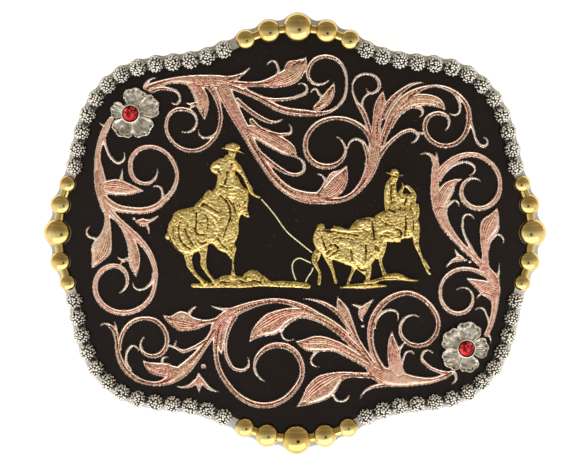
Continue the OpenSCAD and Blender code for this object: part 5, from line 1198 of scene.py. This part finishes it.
def modelled(f, tops, folds, creases):
    """Height and mask of a figure. Each stroke is a rounded body: its lift rises from the edge like
    a quarter circle, up to its own top, and where bodies overlap the sum of high powers of their lifts
    blends them. The casting is uneven, folds stand a little proud and creases are cut deeper."""
    total = 0
    for (deep, half), top in zip(f["domes"], tops):
        rise = np.clip(deep / np.minimum(half, BODY_ROUND), 0, 1)
        own = FIGURE_EDGE + (top - FIGURE_EDGE) * np.sqrt(1 - (1 - rise) ** 2)
        total = total + own ** BLEND * (deep > 0)
    body = np.maximum(total, FIGURE_EDGE ** BLEND) ** (1 / BLEND)
    fold = eased(cast_field(folds, f)["deep"], -0.12, 0.3)
    crease = eased(cast_field(creases, f)["deep"], -0.1, 0.28)
    crease *= eased(f["deep"], 0.05, 0.15)
    near = f["deep"] > -0.2
    spots = np.stack([f["x"], f["y"]], -1)[near] * UNEVEN_SCALE
    rough = np.zeros(near.shape)
    rough[near] = [noise.fractal((x, y, 0), 0.6, 2.2, 3) for x, y in spots.tolist()]
    body = body + UNEVEN_H * rough * eased(f["deep"], 0.05, 0.3)
    lift = body + FOLD_H * fold * eased(f["deep"], 0.05, 0.2) - CREASE_D * crease
    f["lift"] = OVERLAY_LOW + np.clip(lift, FIGURE_LEAST, FIGURE_TOP)
    # The relief mask is painted light: higher bodies, folds and a line along the edge are lighter as a
    # painted highlight, and creases darker as painted shade.
    rim = ridge(f["deep"], 0.08, 0.09)
    return {"relief_shading": 0.38 + 0.25 * (body - FIGURE_EDGE) + 0.35 * rough + 0.22 * fold + 0.1 * rim
            - crease * (0.45 + 0.5 * rough)}


def figure_gold():
    """Bright gold plate over a rough casting, mottled: by the stored mask, pale as a painted highlight on
    tops, folds and edges, and brown as painted shade in creases.
    """
    material, tree, shader = finish("cast_gold")
    height, patch = skin(tree, 1900, 420)
    _, level, mottle = mottled(tree, 0.3, 1300, 4, 0.65)
    colour = ramp(tree, level, (0, (0.05, 0.03, 0.006)), (0.2, (0.27, 0.18, 0.045)),
                  (0.45, (0.74, 0.54, 0.18)), (0.75, (0.9, 0.73, 0.32)), (1, (1.0, 0.94, 0.6)))
    uneven = reckon(tree, "ADD", height, mottle)
    feed(tree, shader, {
        "Base Color": colour, "Roughness": ramp(tree, patch, (0, 0.3), (1, 0.42)),
        "Normal": bump(tree, uneven, 0.09), "Metallic": 1})
    return material


CAST_GOLD = figure_gold()
for name, strokes, tops, folds, creases in (
        ("heeler", HEELER, HEELER_TOPS, HEELER_FOLDS, HEELER_CREASES),
        ("header", HEADER, HEADER_TOPS, HEADER_FOLDS, HEADER_CREASES)):
    figure = cast_field(strokes)
    masks = modelled(figure, tops, folds, creases)
    casting(f"{name}_casting", figure, CAST_GOLD, "figure_gold", [f"{name}_figure"], **masks)

# Lariat.
# The taut rope and the loop about the steer's heels: gold wire 0.3 mm thick that lies on the enamel.
ROPE_R = 0.15
# Columns of a run of the rope: x, y.
LARIAT = [
    [[-6.7, 6.85], [-4.1, 3.8], [-1.6, 0.4], [1.2, -2], [3.4, -3.75]],
    [[3.2, -5.9], [2, -5.3], [0.8, -4.9], [-0.4, -5.8], [-0.5, -7.2], [-0.1, -8.6], [0.2, -9.3]],
    [[3.6, -6.8], [3.3, -7.6], [2.6, -8.6], [2.1, -9.7]],
]


def wire(route, around=10, steps=10):
    """A round wire: a circle of the rope's radius carried along its route on the enamel, its ends capped."""
    places, _, runs = traced([[x, y, 2 * ROPE_R] for x, y in route], steps)
    places = np.concatenate([places[0], *(p[1:] for p in places[1:])])
    runs = np.concatenate([runs[0], *(r[1:] for r in runs[1:])])
    angle = np.arange(around) * math.tau / around
    across = np.stack([-runs[:, 1], runs[:, 0]], -1)[:, None] * np.cos(angle)[None, :, None] * ROPE_R
    rise = np.broadcast_to(np.sin(angle) * ROPE_R, across.shape[:2])
    return capped(bent(places[:, None] + across, OVERLAY_LOW + ROPE_R + rise))


rope = joined([wire(route) for route in LARIAT])
store(piece("rope", rope, CAST_GOLD, ["lariat"]), "relief_shading", np.ones(len(rope[0])))

# Flowers.
# Two thin cast flowers of five petals with curled, notched edges, silver plated and left matt, each with
# a collet turned up round its stone and crimped down in small beads.
# Columns of a petal: degrees of its direction, length, degrees that it spreads to each side.
LEFT_PETALS = [[80, 5.2, 34], [22, 5.7, 31], [-52, 5.2, 34], [-122, 5.1, 34], [166, 4.4, 28]]
RIGHT_PETALS = [[77, 5.4, 35], [2, 4.8, 32], [-75, 4.8, 31], [-140, 5.1, 34], [145, 5, 35]]
LEFT_FLOWER_AT = [-32.7, 24]
RIGHT_FLOWER_AT = [34.1, -23.1]
STONE_R = 1.6
COLLET_T = 0.3
COLLET_H = 1.88
COLLET_GAP = 0.06
CRIMPS = 24
CENTRE_R = 2.4
EYE_R = 1.9
PETAL_FALL = 0.3
PETAL_FILL = 1.16
LOBE_SHARE = 0.03
NOTCH_SHARE = 0.012
PETAL_T = 0.42
CUP_H = 0.32
LIP_H = 0.26
SIDE_FOLD_H = 0.24
MEET_D = 0.3
DENT_D = 0.18
VEIN_H = 0.008
HAMMER_H = 0.1
HAMMER_SCALE = 1.1
COLLET_RUBBED = 0.75


def blossom(at, petals, around=640, steps=22):
    """Skin and mask of a flower, in rings from the middle of its back round its edge to the middle of its
    front. Its edge in each direction is the longest of the petals there: a petal's edge falls with the cube
    of its turn from its own line, times three lobes and smaller notches, and petals are filled out so that
    they meet. The front is a shallow cup that rises to a curled lip, with a fold along each petal's sides,
    a groove where petals meet, painted dark as shade, faint veins, dents behind the lip and an uneven
    hammered surface. The mask paints a highlight on the lip, folds and higher bumps, and shade in the dents."""
    angle = np.arange(around) * math.tau / around
    edge, turn = np.full(around, CENTRE_R), np.ones(around)
    for direction, length, spread in petals:
        own = ((np.degrees(angle) - direction + 180) % 360 - 180) / (spread * PETAL_FILL)
        reach = length * (1 - PETAL_FALL * np.abs(own) ** 3) * (
            1 + LOBE_SHARE * np.cos(np.radians(540 * own)) + NOTCH_SHARE * np.cos(np.radians(2300 * own)))
        longer = (np.abs(own) <= 1) & (reach > edge)
        turn = np.where(longer, own, turn)
        edge = np.where(longer, reach, edge)
    edge = sum(np.roll(edge, k) for k in range(-2, 3)) / 5
    share = np.sin(np.linspace(0, math.pi / 2, steps))[::-1, None]
    radii = EYE_R + (edge - EYE_R) * share
    deep, out, side = edge - radii, radii / edge, np.abs(turn)
    on_petal = eased(edge - CENTRE_R, 0.1, 0.5)
    lip = ridge(deep, 0.14, 0.14)
    fold = ridge(side, 0.86, 0.09) * eased(out, 0.45, 0.1) * on_petal
    meet = ridge(side, 1.02, 0.06) * eased(out, 0.4, 0.1)
    dent = ridge(deep, 0.5, 0.16) * (0.5 - 0.5 * np.cos(np.radians(1080 * side))) * on_petal
    vein = np.cos(np.radians(1900 * turn)) * ridge(out, 0.65, 0.25)
    ray = np.stack([np.cos(angle), np.sin(angle)], -1)
    ruffle = np.array([[noise.fractal((x, y, at[X]), 0.7, 2.1, 3) for x, y in ring]
                       for ring in (HAMMER_SCALE * radii[..., None] * ray).tolist()])
    lift = (PETAL_T + CUP_H * out ** 2 + LIP_H * lip + SIDE_FOLD_H * fold - MEET_D * meet - DENT_D * dent
            + VEIN_H * vein + HAMMER_H * ruffle)
    # The mask is painted light: a highlight on the lip, folds and higher hammered bumps, and shade where
    # petals meet and in the dents.
    mask = 0.48 + 0.45 * np.maximum(lip, fold) - 0.4 * meet - 0.25 * dent + 0.024 * vein + 0.3 * ruffle
    flat = np.zeros((1, around))
    radii = np.concatenate([flat + EYE_R / 2, edge[None], radii, flat + EYE_R / 2])
    lift = np.concatenate([flat, flat, np.clip(lift, 0.2, 1.08), flat + 0.4])
    mask = np.concatenate([flat, flat, mask, flat + 0.5])
    shell = capped(bent(at + radii[..., None] * ray, OVERLAY_LOW + lift))
    return shell, np.concatenate([[0], mask.ravel(), [0.5]])


def collet(at, around=6 * CRIMPS):
    """The ring round a stone: a profile carried round it, from the foot outside over the crest to the floor
    inside. Its rows hold radius, lift and how deep the crimps cut the crest there, by a cosine."""
    angle = np.arange(around) * math.tau / around
    crimp = 0.5 + 0.5 * np.cos(CRIMPS * angle)
    outer, inner, top = STONE_R + COLLET_T, STONE_R + COLLET_GAP, COLLET_H
    rows = [(outer, 0.3, 0), (outer, top - 0.25, 0), (outer - 0.03, top - 0.1, 0.02),
            (outer - 0.13, top, 0.08), (inner + 0.04, top - 0.03, 0.06), (inner, top - 0.15, 0),
            (inner, 0.85, 0), (inner * 0.5, 0.8, 0)]
    rings = [np.stack([radius * np.cos(angle), radius * np.sin(angle), lift - cut_shade_and_fill * crimp], -1)
             for radius, lift, cut_shade_and_fill in rows]
    return capped(tilted(np.stack(rings), at))


def matt_silver():
    """Matt silver plate: grey, with slow patches of greenish tarnish; the stored mask paints shade in the
    hollows and a highlight on lips and folds.
    """
    material, tree, shader = finish("matt_silver")
    height, patch = skin(tree, 2400, 330)
    depth = stored(tree, "relief_shading")
    grey = ramp(tree, depth, (0, (0.05, 0.042, 0.033)), (0.3, (0.3, 0.26, 0.21)), (0.5, (0.58, 0.51, 0.43)),
                (0.75, (0.88, 0.82, 0.73)), (1, (0.96, 0.92, 0.85)))
    green = ramp(tree, depth, (0, (0.04, 0.04, 0.028)), (0.3, (0.26, 0.26, 0.2)), (0.5, (0.52, 0.49, 0.4)),
                 (0.75, (0.88, 0.83, 0.73)), (1, (0.96, 0.92, 0.84)))
    tone = put(tree, "ShaderNodeMix", {"Factor": patch, "A": grey, "B": green}, data_type="RGBA")
    feed(tree, shader, {
        "Base Color": tone.outputs["Result"], "Roughness": ramp(tree, depth, (0.3, 0.55), (0.8, 0.28)),
        "Normal": bump(tree, height, 0.03), "Metallic": 1})
    return material


MATT_SILVER = matt_silver()
for side, at, petals in (("left", LEFT_FLOWER_AT, LEFT_PETALS), ("right", RIGHT_FLOWER_AT, RIGHT_PETALS)):
    leaves, relief_shading = blossom(at, petals)
    ring = collet(at)
    made = piece(f"blossom_{side}", joined([leaves, ring]), MATT_SILVER,
                 [f"flower_{side}"])
    store(made, "relief_shading", np.concatenate([relief_shading, np.full(len(ring[0]), COLLET_RUBBED)]))

# Stones.
# Two round brilliant-cut red glass stones with foiled flat backs, which keep the frame's own facets.
LOWER_FACETS = 16
INNER_SHARE = 0.5


def coat(name, material):
    """Gives one of the frame's own pieces the material in each of its slots."""
    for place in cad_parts[name].material_slots:
        place.material = material


def red_glass():
    """Red glass over a foil, its light painted: the lower facets are painted as wedges of deep and light
    red, which swap inside the inner share of its radius, with a painted dark girdle. Place runs from -1 to 1
    across the stone."""
    material, tree, shader = finish("red_glass")
    box = put(tree, "ShaderNodeTexCoord").outputs["Generated"]
    off = put(tree, "ShaderNodeVectorMath", {0: box, 1: (0.5, 0.5, 0)}, operation="SUBTRACT").outputs[0]
    place = put(tree, "ShaderNodeVectorMath", {0: off, 1: (2, 2, 0)}, operation="MULTIPLY").outputs[0]
    out = put(tree, "ShaderNodeVectorMath", {0: place}, operation="LENGTH").outputs["Value"]
    axes = put(tree, "ShaderNodeSeparateXYZ", {0: place})
    angle = reckon(tree, "ARCTAN2", axes.outputs["Y"], axes.outputs["X"])
    number = reckon(tree, "FLOOR", reckon(tree, "MULTIPLY", angle, LOWER_FACETS / math.tau))
    # Each lower facet gets a painted light level, deep or light red.
    painted_facet_light = put(tree, "ShaderNodeTexWhiteNoise", {"W": number}, noise_dimensions="1D").outputs["Value"]
    swapped = reckon(tree, "LESS_THAN", out, INNER_SHARE)
    bright = reckon(tree, "ABSOLUTE", reckon(tree, "SUBTRACT", painted_facet_light, swapped))
    colour = ramp(tree, bright, (0, (0.16, 0.003, 0.004)), (0.55, (0.55, 0.02, 0.022)),
                  (1, (0.95, 0.12, 0.12)))
    # The dark girdle ring is painted shade.
    ring = ramp(tree, out, (0.8, (1, 1, 1)), (0.93, (0.1, 0.06, 0.05)))
    dark = put(tree, "ShaderNodeMix", {"Factor": 1, "A": colour, "B": ring}, data_type="RGBA",
               blend_type="MULTIPLY")
    feed(tree, shader, {
        "Base Color": dark.outputs["Result"], "Roughness": 0.1, "Metallic": 0.8, "Specular IOR Level": 0.3})
    return material


RED_GLASS = red_glass()
coat("stone_left", RED_GLASS)
coat("stone_right", RED_GLASS)

# Fittings on the back.
# The belt loop is a bar on two feet and the hook a post with a ball, both nickel plated and soldered on.
coat("belt_loop", NICKEL)
coat("belt_hook", NICKEL)

# Photograph's set-up.
# The buckle lies on its back on a white table in a bright tent with one softbox, seen from straight above by
# a long lens through a dark hole in the tent. The table, lights and camera aren't part of it.
VIEW_MIDDLE = (-0.9, -0.4)
VIEW_WIDTH = 116.2
LENS = 200
SENSOR = 36
FAR_LIMIT = 10
# The way from the buckle to the dark hole.
DARK_SPOT = (0.14, -0.2, 0.97)
TABLE_SIDE = 6000
TABLE_GAP = 0.02
TENT_STRENGTH = 1.45


def table():
    """A flat white sheet six metres across, just under the buckle's lowest point."""
    mesh = bpy.data.meshes.new("table")
    edge, low = TABLE_SIDE / 2 * MM, cad_low.z - TABLE_GAP * MM
    mesh.from_pydata([(-edge, -edge, low), (edge, -edge, low), (edge, edge, low), (-edge, edge, low)], [],
                     [(0, 1, 2, 3)])
    material, tree, shader = finish("white_table")
    feed(tree, shader, {
        "Base Color": (0.93, 0.93, 0.93, 1), "Roughness": 0.8,
        "Emission Color": (1, 1, 1, 1), "Emission Strength": 0.6})
    mesh.materials.append(material)
    placed("table", mesh)


def softbox(name, place, size, power):
    """A rectangular soft light that faces the buckle, unseen by the camera itself."""
    light = bpy.data.lights.new(name, "AREA")
    light.shape = "RECTANGLE"
    light.size, light.size_y = size
    light.energy = power
    obj = placed(name, light)
    obj.location = place
    obj.rotation_euler = (-Vector(place)).to_track_quat("-Z", "Y").to_euler()
    obj.visible_camera = False


table()
softbox("front_box", (0.05, -0.5, 0.4), (1.2, 0.5), 2.6)

world = bpy.data.worlds.new("studio")
world.use_nodes = True
tent = world.node_tree
toward = put(tent, "ShaderNodeTexCoord").outputs["Generated"]
axes = put(tent, "ShaderNodeSeparateXYZ", {0: toward})
height = ramp(tent, axes.outputs["Z"], (0.0, 0.95), (0.4, 1.0), (0.75, 0.75), (1.0, 0.55))
depth = put(tent, "ShaderNodeMapRange", {"Value": axes.outputs["Y"], "From Min": -1, "From Max": 1})
front = ramp(tent, depth.outputs["Result"],
             (0.0, (0.92, 0.91, 0.89)), (0.42, (0.92, 0.91, 0.9)), (0.55, (0.52, 0.5, 0.46)),
             (0.61, (0.34, 0.3, 0.23)), (0.66, (0.42, 0.38, 0.3)), (0.72, (0.27, 0.23, 0.16)),
             (0.8, (0.4, 0.36, 0.28)), (0.88, (0.25, 0.2, 0.13)), (1.0, (0.3, 0.27, 0.22)))
light = put(tent, "ShaderNodeVectorMath", {0: front, 1: height}, operation="MULTIPLY").outputs[0]
near = put(tent, "ShaderNodeVectorMath", {0: toward, 1: DARK_SPOT}, operation="DISTANCE").outputs["Value"]
hole = ramp(tent, near, (0.12, 0.0), (0.17, 1.0))
shown = put(tent, "ShaderNodeVectorMath", {0: light, 1: hole}, operation="MULTIPLY").outputs[0]
feed(tent, tent.nodes["Background"], {"Color": shown, "Strength": TENT_STRENGTH})
bpy.context.scene.world = world
bpy.context.scene.view_settings.view_transform = "Standard"

lens = bpy.data.cameras.new("camera")
lens.lens = LENS
lens.sensor_width = SENSOR
lens.clip_end = FAR_LIMIT
camera = placed("camera", lens)
distance = VIEW_WIDTH * LENS / SENSOR
camera.location = Vector((*VIEW_MIDDLE, CROWN_Z + distance)) * MM
bpy.context.scene.camera = camera
